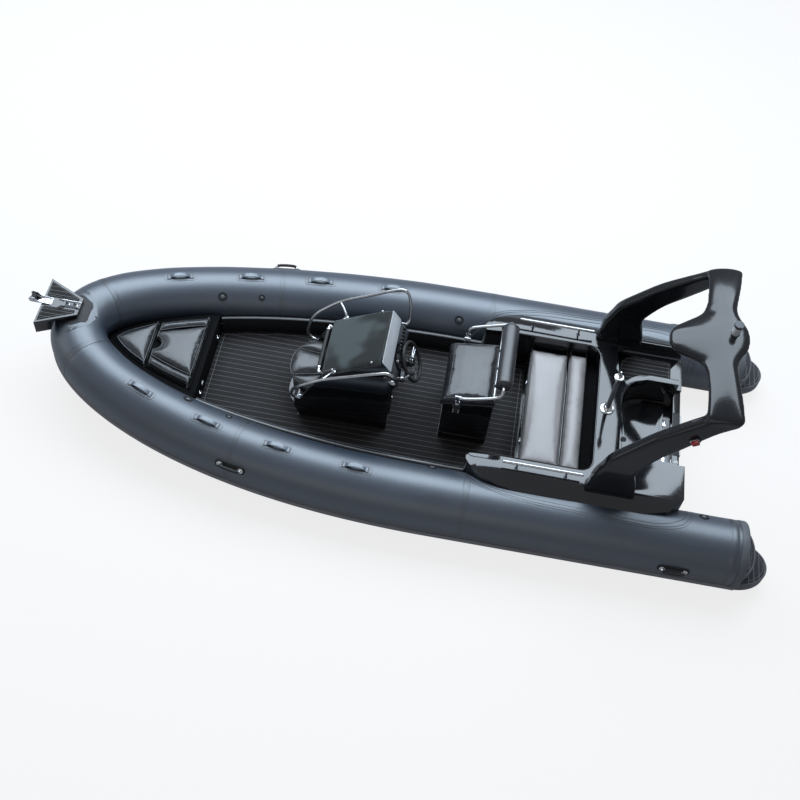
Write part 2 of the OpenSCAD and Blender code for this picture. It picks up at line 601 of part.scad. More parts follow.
module valves() color("#15171a") both_sides() {
    on_collar(bend_station(bend_angle(1500 * fore)), 126, 0.8) valve();
    on_collar(bend_station(bend_angle(-500)), 126, 0.8) valve();
    on_collar(side_station(-2750), 126, 0.8) valve();
}
module stern_eyes() color("#c9ccd0") both_sides() translate([transom_x - 24, 560, 20]) difference() {
    union() {
        cylinder(d = 44, h = 12, center = true);
        translate([0, -9, -6]) cube([24 - gap, 18, 12]);
    }
    cylinder(d = 22, h = 20, center = true);
}

hull();
deck_liner();
deck_mat();
tube_port();
tube_starboard();
tube_bow();
rub_strake();
stern_step_port();
stern_step_starboard();
bow_step();
bow_roller_bracket();
bow_roller();
bow_cleat();
towing_eye();
bow_locker();
bow_lid();
bow_cushion_forward();
bow_cushion_aft();
console();
console_lid();
console_cushion();
windscreen();
console_rail_port();
console_rail_starboard();
grab_bar();
steering_column();
steering_wheel();
throttle();
helm_pedestal();
helm_seat_pan();
backrest_pivots();
helm_cushion();
backrest_frame();
backrest_roll();
stern_module();
bench_lid();
bench_cushion();
bench_back_cushion();
coaming_rail_port();
coaming_rail_starboard();
ski_pole();
motor_plate();
arch();
navigation_lights();
masthead_light();
carry_handles();
grab_handles();
valves();
stern_eyes();
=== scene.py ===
import math

import bmesh
import bpy
import numpy as np
from mathutils import Matrix, Vector
from mathutils.bvhtree import BVHTree


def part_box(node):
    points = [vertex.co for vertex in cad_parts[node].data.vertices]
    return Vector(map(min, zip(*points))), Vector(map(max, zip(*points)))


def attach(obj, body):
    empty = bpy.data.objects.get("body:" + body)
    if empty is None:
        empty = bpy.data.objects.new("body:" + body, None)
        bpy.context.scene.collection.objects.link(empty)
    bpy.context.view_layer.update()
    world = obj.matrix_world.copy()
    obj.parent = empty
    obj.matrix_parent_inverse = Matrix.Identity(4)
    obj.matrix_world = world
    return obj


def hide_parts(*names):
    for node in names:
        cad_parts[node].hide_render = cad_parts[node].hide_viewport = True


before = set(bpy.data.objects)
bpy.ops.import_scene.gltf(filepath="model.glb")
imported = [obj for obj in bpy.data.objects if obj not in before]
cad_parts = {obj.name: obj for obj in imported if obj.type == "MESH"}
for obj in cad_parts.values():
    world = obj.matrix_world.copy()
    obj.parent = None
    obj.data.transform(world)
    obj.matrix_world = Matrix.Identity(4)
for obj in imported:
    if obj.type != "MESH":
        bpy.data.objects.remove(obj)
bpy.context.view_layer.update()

scene = bpy.context.scene


# ---- finishes ----
class Value:
    """One shader output that takes part in plain arithmetic."""

    def __init__(self, finish, socket):
        self.finish, self.socket = finish, socket

    def maths(self, operation, first, second=None):
        inputs = {0: first} if second is None else {0: first, 1: second}
        return self.finish.node("ShaderNodeMath", {"operation": operation}, inputs)

    def __add__(self, other):
        return self.maths("ADD", self, other)

    def __sub__(self, other):
        return self.maths("SUBTRACT", self, other)

    def __rsub__(self, other):
        return self.maths("SUBTRACT", other, self)

    def __mul__(self, other):
        return self.maths("MULTIPLY", self, other)

    def __truediv__(self, other):
        return self.maths("DIVIDE", self, other)

    def __rtruediv__(self, other):
        return self.maths("DIVIDE", other, self)

    def __mod__(self, other):
        return self.maths("FLOORED_MODULO", self, other)

    def __abs__(self):
        return self.maths("ABSOLUTE", self)

    def wave(self):
        return self.maths("SINE", self)

    def fade(self, start, end):
        """0 before start, 1 past end, smooth between."""
        ends = {"Value": self, "From Min": start, "From Max": end}
        return self.finish.node("ShaderNodeMapRange", {"interpolation_type": "SMOOTHSTEP"}, ends)

    __radd__, __rmul__ = __add__, __mul__


class Finish:
    """A material whose nodes are written as expressions."""

    def __init__(self, name, **constants):
        self.material = bpy.data.materials.new(name)
        self.material.use_nodes = True
        self.tree = self.material.node_tree
        self.tree.nodes.clear()
        self.shader = self.tree.nodes.new("ShaderNodeBsdfPrincipled")
        out = self.tree.nodes.new("ShaderNodeOutputMaterial")
        self.tree.links.new(self.shader.outputs[0], out.inputs["Surface"])
        for socket, value in constants.items():
            self.shader.inputs[socket.replace("_", " ")].default_value = value
        self.place = self.node("ShaderNodeTexCoord", out="Object")
        self.x, self.y, self.z = (self.node("ShaderNodeSeparateXYZ", {}, {0: self.place}, k)
                                  for k in range(3))

    def node(self, kind, settings=None, inputs=None, out=0):
        made = self.tree.nodes.new(kind)
        for key, value in (settings or {}).items():
            if key == "stops":
                for k, (where, colour) in enumerate(value):
                    stop = made.color_ramp.elements[k] if k < 2 else made.color_ramp.elements.new(where)
                    stop.position, stop.color = where, (*colour, 1)
            else:
                setattr(made, key, value)
        for key, value in (inputs or {}).items():
            if isinstance(value, Value):
                self.tree.links.new(value.socket, made.inputs[key])
            else:
                made.inputs[key].default_value = value
        return Value(self, made.outputs[out])

    def noise(self, scale, detail=3, stretch=(1, 1, 1)):
        place = self.node("ShaderNodeMapping", {}, {"Vector": self.place, "Scale": stretch})
        return self.node("ShaderNodeTexNoise", {}, {"Vector": place, "Scale": scale, "Detail": detail}, "Fac")

    def cells(self, scale, feature="F1"):
        return self.node("ShaderNodeTexVoronoi", {"feature": feature},
                         {"Vector": self.place, "Scale": scale}, "Distance")

    def mix(self, factor, first, second):
        pad = [c if isinstance(c, Value) else (*c, 1) for c in (first, second)]
        return self.node("ShaderNodeMix", {"data_type": "RGBA"}, {0: factor, 6: pad[0], 7: pad[1]}, 2)

    def use(self, colour=None, roughness=None, height=None, depth=0.001, **others):
        given = {"Base Color": colour, "Roughness": roughness, **others}
        if height is not None:
            given["Normal"] = self.node("ShaderNodeBump", {},
                                        {"Strength": 1.0, "Distance": depth, "Height": height})
        for socket, value in given.items():
            if value is not None:
                self.tree.links.new(value.socket, self.shader.inputs[socket.replace("_", " ")])
        return self.material


def collar_fabric(name, dark, light, gloss=0.36):
    f = Finish(name, Specular_IOR_Level=1.0, Specular_Tint=(0.80, 0.91, 1.0, 1), Coat_Weight=0.85,
               Coat_Roughness=0.40, Coat_IOR=1.85)
    clouds, grain = f.noise(1.7, 4), f.noise(520, 2)
    scuffs = f.noise(9, 6, (1, 3, 3)).fade(0.60, 0.78)
    threads = (f.x * 2600).wave() * (f.y * 2600).wave() * 0.5 + (f.z * 2600).wave() * 0.25
    colour = f.mix(clouds.fade(0.3, 0.7), dark, light)
    colour = f.mix(scuffs * 0.10, colour, (0.13, 0.15, 0.19))
    return f.use(colour, (clouds * 0.10 + grain * 0.05 + scuffs * 0.10) + (gloss - 0.08), threads * 0.25
                 + grain, 0.00035)


def gelcoat(name, colour, gloss=0.05, wear=0.2, shine=0.75, coat=0.45):
    f = Finish(name, Specular_IOR_Level=shine, Coat_Weight=coat, Coat_Roughness=0.03)
    haze, peel, dust = f.noise(3.2, 5), f.noise(160, 2), f.noise(38, 6).fade(0.58, 0.80)
    swirl = f.noise(26, 4, (1, 6, 1)).fade(0.55, 0.75)
    tone = f.mix(haze, colour, tuple(c * 1.5 + 0.002 for c in colour))
    tone = f.mix(dust * wear * 0.25, tone, (0.11, 0.115, 0.12))
    return f.use(tone, haze * 0.07 + swirl * 0.05 + dust * 0.08 + gloss, peel, 0.00012)


def vinyl(name, dark, light, gloss=0.34):
    f = Finish(name, Specular_IOR_Level=1.0, Coat_Weight=0.2, Coat_Roughness=0.3)
    grain, crease = f.cells(420, "F1"), f.noise(60, 4).fade(0.35, 0.75)
    clouds, rub = f.noise(4.5, 3), f.noise(13, 5).fade(0.55, 0.80)
    colour = f.mix(clouds.fade(0.3, 0.7), dark, light)
    colour = f.mix(grain.fade(0.0, 0.35) * 0.35, colour, tuple(c * 0.55 for c in dark))
    return f.use(colour, clouds * 0.10 + rub * 0.12 + (gloss - 0.08), grain + crease * 0.8, 0.0006)


def planked(name, plank, line, pitch=0.05, along="y", width=0.0042, gloss=0.74):
    """Foam deck sheet: planks with light caulking lines and a fine brushed grain."""
    f = Finish(name, Specular_IOR_Level=0.32)
    across = f.y if along == "y" else f.x
    near = abs(((across + 10 + pitch / 2) % pitch) - pitch / 2)
    seam = 1 - near.fade(width * 0.42, width * 0.62)
    stretch = (3, 90, 3) if along == "y" else (90, 3, 3)
    brushed, patch, dirt = f.noise(11, 4, stretch), f.noise(2.1, 3), f.noise(17, 6).fade(0.55, 0.8)
    colour = f.mix(brushed.fade(0.3, 0.75), tuple(c * 0.72 for c in plank), tuple(c * 1.35 for c in plank))
    colour = f.mix(patch.fade(0.35, 0.7) * 0.35, colour, tuple(c * 1.7 for c in plank))
    colour = f.mix(dirt * 0.14, colour, (0.16, 0.15, 0.14))
    colour = f.mix(seam, colour, line)
    return f.use(colour, dirt * 0.10 + gloss, brushed * 0.5 - seam, 0.0009)


def steel(name, tint=(0.66, 0.67, 0.69), gloss=0.15):
    f = Finish(name, Metallic=1.0)
    lines, stain = f.noise(30, 4, (1, 14, 14)), f.noise(9, 5).fade(0.55, 0.8)
    colour = f.mix(stain * 0.4, tint, tuple(c * 0.72 for c in tint))
    return f.use(colour, lines * 0.10 + stain * 0.10 + gloss, lines, 0.00008)


def plastic(name, colour, gloss=0.42, grainy=1.0, shine=0.5):
    f = Finish(name, Specular_IOR_Level=shine)
    grain, clouds, scuff = f.cells(900), f.noise(14, 3), f.noise(48, 6).fade(0.6, 0.8)
    tone = f.mix(clouds, tuple(c * 0.8 for c in colour), tuple(min(1, c * 1.2) for c in colour))
    tone = f.mix(scuff * (0.2 * min(1, shine * 2)), tone, (0.25, 0.25, 0.26))
    return f.use(tone, clouds * 0.10 + scuff * 0.12 + (gloss - 0.05), grain * grainy, 0.00025)


def acrylic(name, tint, alpha, gloss=0.03):
    f = Finish(name, Specular_IOR_Level=0.7, Coat_Weight=0.6, Coat_Roughness=0.02, Alpha=alpha)
    haze, streak = f.noise(6, 4), f.noise(20, 5, (8, 1, 1)).fade(0.6, 0.85)
    # painted reflection: broad noise patches lighten a dark tint such as the smoked screen up to 3.2 times,
    # as mirrored surroundings; pale lens tints only vary by 1.15
    tone = f.mix(f.noise(2.6, 2).fade(0.44, 0.56), tint,
                 tuple(min(1.0, c * 3.2) if max(tint) < 0.1 else c * 1.15 for c in tint))
    return f.use(tone, haze * 0.03 + streak * 0.05 + gloss, haze, 0.0001)


FABRIC = collar_fabric("collar_fabric", (0.017, 0.026, 0.044), (0.024, 0.036, 0.059), 0.47)
TAPE = collar_fabric("collar_tape", (0.011, 0.016, 0.026), (0.017, 0.024, 0.037), 0.50)
WEBBING = collar_fabric("handle_webbing", (0.060, 0.078, 0.105), (0.090, 0.112, 0.145), 0.42)
PALE_RUBBER = plastic("strake_rubber", (0.27, 0.27, 0.29), 0.50)
HOOP_RUBBER = plastic("hoop_rubber", (0.150, 0.156, 0.172), 0.46)
BLACK_RUBBER = plastic("black_rubber", (0.014, 0.014, 0.015), 0.52)
# matte black with little shine; in the ledge behind the bench's narrow pad it is painted shade
MATTE_BLACK = plastic("matte_black", (0.0035, 0.0037, 0.0042), 0.75, 1.0, 0.10)
BLACK_PLASTIC = plastic("black_plastic", (0.018, 0.019, 0.021), 0.36)
WHITE_PLASTIC = plastic("white_plastic", (0.72, 0.73, 0.74), 0.34, 0.3)
GREY_PLASTIC = plastic("grey_plastic", (0.16, 0.17, 0.19), 0.40)
RED_LENS = acrylic("red_lens", (0.55, 0.010, 0.012), 1.0, 0.10)
GREEN_LENS = acrylic("green_lens", (0.012, 0.26, 0.09), 1.0, 0.10)
CLEAR_LENS = acrylic("clear_lens", (0.62, 0.66, 0.70), 1.0, 0.08)
BLACK_GEL = gelcoat("black_gelcoat", (0.0055, 0.006, 0.0075))
DARK_GEL = gelcoat("hull_gelcoat", (0.008, 0.009, 0.011), 0.10)
ARCH_GEL = gelcoat("arch_gelcoat", (0.0055, 0.0062, 0.0085), 0.13, 0.1, 0.50, 0.22)
LINER_GEL = gelcoat("liner_gelcoat", (0.0045, 0.005, 0.006), 0.30)
VINYL = vinyl("cushion_vinyl", (0.011, 0.013, 0.017), (0.018, 0.021, 0.027), 0.36)
# painted reflection: the bench pads are pale grey vinyl, standing for the sky mirrored in black vinyl like
# the other cushions
BENCH_VINYL_PAINTED_REFLECTION = vinyl("bench_vinyl_painted_reflection", (0.40, 0.375, 0.37), (0.46, 0.43, 0.425), 0.44)
PIPING = vinyl("piping_vinyl", (0.012, 0.013, 0.015), (0.018, 0.019, 0.022), 0.40)
DECK_FOAM = planked("deck_foam", (0.0165, 0.0150, 0.0150), (0.145, 0.140, 0.145))
STEP_FOAM = planked("step_foam", (0.042, 0.043, 0.048), (0.24, 0.24, 0.25), 0.042, "x")
PAD_FOAM = planked("pad_foam", (0.0130, 0.0120, 0.0120), (0.17, 0.17, 0.17), 0.040)
INLAY = plastic("inlay_foam", (0.17, 0.165, 0.17), 0.70)
STEEL = steel("stainless")
CHROME = steel("chrome_fitting", (0.78, 0.79, 0.80), 0.06)
# the smoked screen's lighter patches, from acrylic's noise mix, are painted reflections
SCREEN = acrylic("smoked_acrylic", (0.030, 0.037, 0.038), 0.80)
# painted reflection: pale gelcoat for the dash top, standing for the sky mirrored on it
DASH_PAINTED_REFLECTION = gelcoat("dash_gelcoat_painted_reflection", (0.40, 0.415, 0.43), 0.12)


# ---- mesh making ----
SIDES = ((1, "port"), (-1, "starboard"))
UP = (0, 0, 1)


def unit(v):
    return v / np.linalg.norm(v)


def turned_frames(path, closed=False):
    """Points with two directions square to the path, carried along without twist."""
    p = np.array(path, float)
    n = len(p)
    ahead = np.roll(p, -1, 0) if closed else np.vstack([p[1:], 2 * p[-1] - p[-2]])
    behind = np.roll(p, 1, 0) if closed else np.vstack([2 * p[0] - p[1], p[:-1]])
    t = np.array([unit(a) for a in ahead - behind])
    side = np.array([0, 0, 1.0]) if abs(t[0][2]) < 0.9 else np.array([0, 1.0, 0])
    out = []
    for k in range(n):
        side = unit(side - side.dot(t[k]) * t[k])
        out.append((p[k], side, np.cross(t[k], side)))
    return out


def circle(radius, sides=14, squash=1.0):
    angles = np.arange(sides) * 2 * math.pi / sides
    return [(radius * math.cos(a), radius * squash * math.sin(a)) for a in angles]


def arc(x, y, radius, angles):
    """Points round a centre; angles in radians."""
    return [(x + radius * math.cos(a), y + radius * math.sin(a)) for a in angles]


def to_side(outline, side):
    """An outline drawn for port, mirrored and listed the other way round for starboard."""
    return outline if side > 0 else [(x, -y) for x, y in outline][::-1]


def smooth_path(points, steps=6, closed=False):
    """A smooth curve through all the points."""
    p = np.array(points, float)
    n, out = len(p), []
    for i in range(n if closed else n - 1):
        pick = (lambda k: p[k % n]) if closed else (lambda k: p[min(max(k, 0), n - 1)])
        a, b, c, d = pick(i - 1), pick(i), pick(i + 1), pick(i + 2)
        for t in np.arange(steps) / steps:
            bend = (2 * a - 5 * b + 4 * c - d) * t**2 + (3 * b - a - 3 * c + d) * t**3
            out.append(0.5 * (2 * b + (c - a) * t + bend))
    return out if closed else out + [p[-1]]


def inset(outline, d):
    """An anticlockwise outline drawn in by d."""
    p = np.array(outline, float)
    out = []
    for k in range(len(p)):
        a, b = unit(p[k] - p[k - 1]), unit(p[(k + 1) % len(p)] - p[k])
        m = np.array([-a[1], a[0]]) + np.array([-b[1], b[0]])
        m /= max(0.35, m.dot(m) / 2)
        out.append(p[k] + d * m)
    return out


def rounded_outline(x0, x1, y0, y1, r, n=6):
    """An oblong with round corners, anticlockwise."""
    corners = [(x1 - r, y1 - r, 0), (x0 + r, y1 - r, 90), (x0 + r, y0 + r, 180), (x1 - r, y0 + r, 270)]
    return [p for x, y, a in corners for p in arc(x, y, r, np.radians(np.linspace(a, a + 90, n + 1)))]


class Shape:
    """Points and faces gathered for one piece; each face keeps the number of its finish."""

    def __init__(self):
        self.points, self.faces, self.kinds = [], [], []

    def add(self, points, faces, kind=0, at=None):
        start = len(self.points)
        points = [Vector(p) for p in points]
        self.points += [tuple(at @ p) if at is not None else tuple(p) for p in points]
        self.faces += [[i + start for i in f] for f in faces]
        self.kinds += [kind] * len(faces)
        return self

    def skin(self, rings, kind=0, at=None, closed=False, round_ring=True, caps=True):
        """Faces between rings that have as many points each."""
        n, m = len(rings[0]), len(rings)
        faces = []
        for j in range(m if closed else m - 1):
            for i in range(n if round_ring else n - 1):
                a, b = j * n + i, j * n + (i + 1) % n
                c, d = (a + n) % (m * n), (b + n) % (m * n)
                faces.append((a, b, d, c))
        if caps and not closed and round_ring:
            faces += [tuple(range(n - 1, -1, -1)), tuple(range((m - 1) * n, m * n))]
        return self.add([p for r in rings for p in r], faces, kind, at)

    def sweep(self, path, profile, kind=0, at=None, closed=False, scale=None):
        """A profile carried along a path."""
        rings = []
        for k, (p, u, v) in enumerate(turned_frames(path, closed)):
            s = 1 if scale is None else scale[k]
            rings.append([p + s * (a * u + b * v) for a, b in profile])
        return self.skin(rings, kind, at, closed)

    def rod(self, path, radius, kind=0, at=None, sides=14, closed=False):
        """A round rod whose two ends are domed."""
        if closed:
            return self.sweep(path, circle(radius, sides), kind, at, True)
        p = [np.array(q, float) for q in path]
        first, last = unit(p[0] - p[1]), unit(p[-1] - p[-2])
        ends = [(math.sin(a), math.cos(a)) for a in np.radians([78, 50, 25])]
        start = [p[0] + radius * s * 0.5 * first for s, _ in ends]
        finish = [p[-1] + radius * s * 0.5 * last for s, _ in ends[::-1]]
        scale = [c for _, c in ends] + [1] * len(p) + [c for _, c in ends[::-1]]
        return self.sweep(start + p + finish, circle(radius, sides), kind, at, False, scale)

    def turned(self, profile, kind=0, at=None, sides=32):
        """Radius and height pairs turned about Z."""
        angles = np.arange(sides) * 2 * math.pi / sides
        rings = [[(r * math.cos(a), r * math.sin(a), z) for a in angles] for r, z in profile]
        return self.skin(rings, kind, at)

    def ring_of(self, angles, radius, profile, kind, at, sides=10):
        """The same small turned part, such as a screw, at each angle round an axis."""
        for x, y in arc(0, 0, radius, np.radians(angles)):
            self.turned(profile, kind, at @ Matrix.Translation((x, y, 0)), sides)

    def slab(self, outline, z0, z1, edge=0.004, kind=0, at=None, lower=None, steps=3):
        """A flat piece between two heights with its edges rounded."""
        lower = edge if lower is None else lower
        turns = [math.pi / 2 * k / steps for k in range(steps + 1)]
        rings = [(lower * (1 - math.sin(a)), z0 + lower * (1 - math.cos(a))) for a in turns]
        rings += [(edge * (1 - math.cos(a)), z1 - edge * (1 - math.sin(a))) for a in turns]
        return self.skin([[(x, y, z) for x, y in inset(outline, d)] for d, z in rings], kind, at)

    def block(self, size, centre=(0, 0, 0), edge=0.004, kind=0, at=None):
        x, y, z = (s / 2 for s in size)
        move = Matrix.Translation(centre)
        at = move if at is None else at @ move
        edge = min(edge, x * 0.95, y * 0.95, z * 0.95)
        return self.slab(rounded_outline(-x, x, -y, y, edge, 3), -z, z, edge, kind, at)

    def ribbon(self, path, normals, width, height, kind=0, at=None):
        """A flat strip laid along a path on a surface, with sloped edges."""
        p, n = np.array(path, float), np.array(normals, float)
        rings = []
        for k in range(len(p)):
            t = unit(p[min(k + 1, len(p) - 1)] - p[max(k - 1, 0)])
            s = np.cross(t, n[k])
            w, e = width / 2, min(height * 1.5, width / 4)
            rings.append([p[k] - w * s - 0.0012 * n[k], p[k] + (e - w) * s + height * n[k],
                          p[k] + (w - e) * s + height * n[k], p[k] + w * s - 0.0012 * n[k]][::-1])
        return self.skin(rings, kind, at)

    def level_line(self, points, z, width, height, kind=0, at=None):
        """A ribbon that lies flat at one height."""
        path = [(x, y, z) for x, y in points]
        return self.ribbon(path, [UP] * len(path), width, height, kind, at)

    def mesh(self, name):
        mesh = bpy.data.meshes.new(name)
        mesh.from_pydata(self.points, [], self.faces)
        mesh.polygons.foreach_set("material_index", self.kinds)
        bm = bmesh.new()
        bm.from_mesh(mesh)
        bmesh.ops.recalc_face_normals(bm, faces=bm.faces)
        bm.to_mesh(mesh)
        bm.free()
        return mesh

    def piece(self, name, body, *finishes, stands_for=(), sharp=38, slot=None):
        return dress(bpy.data.objects.new(name, self.mesh(name)), body, finishes, stands_for, sharp, slot)


def dress(piece, body, finishes, stands_for=(), sharp=38, slot=None):
    """Gives a piece its finishes, its body and the frame's nodes that it stands for."""
    if piece.name not in scene.collection.objects:
        scene.collection.objects.link(piece)
    if piece.data.materials:
        piece.data.materials.clear()
    for finish in finishes:
        piece.data.materials.append(finish)
    piece.data.shade_smooth()
    piece.data.set_sharp_from_angle(angle=math.radians(sharp))
    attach(piece, body)
    for node in stands_for:
        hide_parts(node)
    return piece


def moulding(node, radius, finish, body="boat", sharp=22, segments=3, slot=None):
    """The frame's own solid with its edges rounded, as a moulded skin."""
    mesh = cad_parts[node].data.copy()
    bm = bmesh.new()
    bm.from_mesh(mesh)
    bmesh.ops.remove_doubles(bm, verts=bm.verts, dist=0.00005)
    bmesh.ops.dissolve_limit(bm, angle_limit=math.radians(0.6), verts=bm.verts, edges=bm.edges)
    edges = [e for e in bm.edges if len(e.link_faces) == 2 and e.calc_face_angle(0) > math.radians(sharp)]
    bmesh.ops.bevel(bm, geom=edges, offset=radius, segments=segments, profile=0.5, affect="EDGES",
                    clamp_overlap=True, offset_type="OFFSET")
    bm.to_mesh(mesh)
    bm.free()
    piece = bpy.data.objects.new(node + "_skin", mesh)
    return dress(piece, body, (finish,), (node,), 35, slot)


def at_point(x, y, z, turn=(0, 0, 0)):
    """A place with turns in degrees about X, Y and Z in that order."""
    spin = Matrix.Identity(4)
    for axis, angle in zip("XYZ", turn):
        spin = Matrix.Rotation(math.radians(angle), 4, axis) @ spin
    return Matrix.Translation((x, y, z)) @ spin


def upright(side, z=0):
    """Stands an outline drawn in X and Y up in X and Z, from a height, thick towards that side."""
    return Matrix(((1, 0, 0, 0), (0, 0, side, 0), (0, 1, 0, z), (0, 0, 0, 1)))


def both_sides(make):
    """Calls make for port, then for starboard, with the sign of Y and a name ending."""
    for side, end in SIDES:
        make(side, end)


# ---- the collar's own geometry, the same path that its solids follow ----
HALF, TUBE_R, BOW_R, TUBE_Z, SHEER = 0.950, 0.265, 0.226, 0.265, 0.205
BEND_X, BEND_LEN, AFT_X = -0.600, 3.120, -3.060
BOW_X, DECK_Z = BEND_X + BEND_LEN, 0.180
PER_DEGREE = BEND_LEN * math.pi / 180
AFT_TURN, SEAM_TURN = (AFT_X - BEND_X) / PER_DEGREE, 72


def collar_z(x):
    return TUBE_Z + SHEER * max(0, x / BOW_X) ** 2.4


def collar_r(x):
    return TUBE_R - (TUBE_R - BOW_R) * max(0, (x - BEND_X) / BEND_LEN) ** 2


def collar_centre(turn):
    if turn > 90:
        return collar_centre(180 - turn) * np.array([1, -1, 1])
    if turn <= 0:
        return np.array([BEND_X + turn * PER_DEGREE, HALF, TUBE_Z])
    x = BEND_X + BEND_LEN * math.sin(math.radians(turn))
    return np.array([x, HALF * math.cos(math.radians(turn)), collar_z(x)])


def collar_frame(turn):
    """Centre, outboard and upward direction, radius; turn runs from the port stern round the bow."""
    c = collar_centre(turn)
    t = unit(collar_centre(turn + 0.3) - collar_centre(turn - 0.3))
    outboard = unit(np.array([-t[1], t[0], 0]))
    return c, outboard, np.cross(t, outboard), collar_r(c[0])


def on_skin(turn, angle, lift=0.0):
    """A point on the collar and the direction out of it; angle 0 is outboard, 90 on top, 180 inboard."""
    c, out, up, r = collar_frame(turn)
    d = math.cos(math.radians(angle)) * out + math.sin(math.radians(angle)) * up
    return c + (r + lift) * d, d


def turn_at(x, side=1):
    """The turn at which a side's centre line passes a place along the boat."""
    if x <= BEND_X:
        turn = (x - BEND_X) / PER_DEGREE
    else:
        turn = math.degrees(math.asin(min(1, (x - BEND_X) / BEND_LEN)))
    return turn if side > 0 else 180 - turn


def seat_on_skin(turn, angle, lift=0.0):
    """A matrix whose X runs along the collar and whose Z points out of it."""
    p, n = on_skin(turn, angle, lift)
    along = unit(on_skin(turn + 0.4, angle)[0] - on_skin(turn - 0.4, angle)[0])
    n = unit(n - n.dot(along) * along)
    m = Matrix.Identity(4)
    for k, column in enumerate((along, np.cross(n, along), n, p)):
        for row in range(3):
            m[row][k] = column[row]
    return m


def tape_on_skin(shape, marks, width, height, kind=0, steps=5):
    """A tape through marks, each a place along the collar and an angle round it."""
    marks = smooth_path([(a, b, 0) for a, b, *_ in marks], steps)
    laid = [on_skin(a, b) for a, b, _ in marks]
    return shape.ribbon([p for p, _ in laid], [n for _, n in laid], width, height, kind)


def hoop(shape, turn, width, height):
    """A tape right round the collar."""
    half = width / 2 / PER_DEGREE
    rows = [(-half, -0.001), (-half * 0.9, height), (half * 0.9, height), (half, -0.001)]
    rings = [[on_skin(turn + a, b, h)[0] for b in range(0, 360, 5)] for a, h in rows]
    return shape.skin(rings, caps=False)


def chamber(name, start, end):
    """One length of tube, drawn in a little at its seams and barely rippled."""
    turns = np.linspace(start, end, int(abs(end - start) / 1.1) + 2)
    rings = []
    for turn in turns:
        edge = min(abs(turn - start), abs(turn - end)) * PER_DEGREE
        pinch = -0.0035 * math.exp(-((edge / 0.022) ** 2))
        c, out, up, r = collar_frame(turn)
        ring = []
        for b in np.arange(0, 360, 4.5):
            a = math.radians(b)
            ripple = 0.0006 * math.sin(3 * a + turn * 0.16) + 0.0005 * math.sin(turn * 0.55 + a)
            ring.append(c + (r + pinch + ripple) * (math.cos(a) * out + math.sin(a) * up))
        rings.append(ring)
    shape = Shape()
    shape.skin(rings)
    shape.piece(name + "_skin", "boat", FABRIC, stands_for=(name,), sharp=60, slot="tube_fabric")


chamber("tube_port", AFT_TURN, SEAM_TURN)
chamber("tube_bow", SEAM_TURN, 180 - SEAM_TURN)
chamber("tube_starboard", 180 - SEAM_TURN, 180 - AFT_TURN)

seams = Shape()
for turn in (SEAM_TURN, 180 - SEAM_TURN):
    hoop(seams, turn, 0.085, 0.0016)
for x, width in ((0.985, 0.05), (-0.870, 0.05), (-2.985, 0.06)):
    for side, _ in SIDES:
        hoop(seams, turn_at(x, side), width, 0.0012)
seams.piece("seam_tapes", "boat", TAPE, slot="tube_fabric")

# tapes that bond the collar to the stern moulding: two lines sweeping over the tube
bond = Shape()
for side, _ in SIDES:
    for forward, step, wide in ((0, 0, 0.020), (0.055, 6.5, 0.012), (0.085, 10.5, 0.006)):
        front = [(-0.72, 168), (-0.78, 148), (-0.90, 123), (-1.06, 105 - step * 0.4)]
        along = [(-1.32, 96), (-1.75, 92), (-2.15, 89), (-2.38, 90)]
        rear = [(-2.53, 101 - step), (-2.61, 122), (-2.63, 160)]
        marks = [(x + forward, b) for x, b in front] + [(x, b - step) for x, b in along]
        marks += [(x - forward * 0.6, b) for x, b in rear]
        tape_on_skin(bond, [(turn_at(x, side), b) for x, b in marks], wide, 0.0024)
    tape_on_skin(bond, [(turn_at(x, side), 198) for x in np.linspace(-2.5, 2.1, 24)], 0.05, 0.0018, steps=3)
bond.piece("bonding_tapes", "boat", TAPE, slot="tube_fabric")

# rub strake: a band with two light ribs and a dark groove between them, closed against the tube
strake = Shape()
lower_rib = [(-36.5, 0.0006, 0), (-36.2, 0.012, 0), (-35.0, 0.018, 0), (-33.4, 0.022, 0), (-31.8, 0.0225, 0)]
groove = [(-30.4, 0.020, 1), (-29.6, 0.0145, 1), (-27.4, 0.0145, 1)]
upper_rib = [(-26.6, 0.020, 0), (-25.2, 0.0225, 0), (-23.4, 0.022, 0), (-21.4, 0.018, 0), (-19.2, 0.011, 0)]
section = lower_rib + groove + upper_rib + [(-18.2, 0.0006, 1)]
turns = np.linspace(AFT_TURN - 0.3, 180 - AFT_TURN + 0.3, 230)
for a, b in zip(section, section[1:] + section[:1]):
    rows = [[on_skin(t, angle, lift)[0] for angle, lift, _ in (a, b)] for t in turns]
    strake.skin(rows, a[2], round_ring=False)
strake.piece("rub_strake_skin", "boat", PALE_RUBBER, BLACK_RUBBER, stands_for=("rub_strake",), slot="strake")

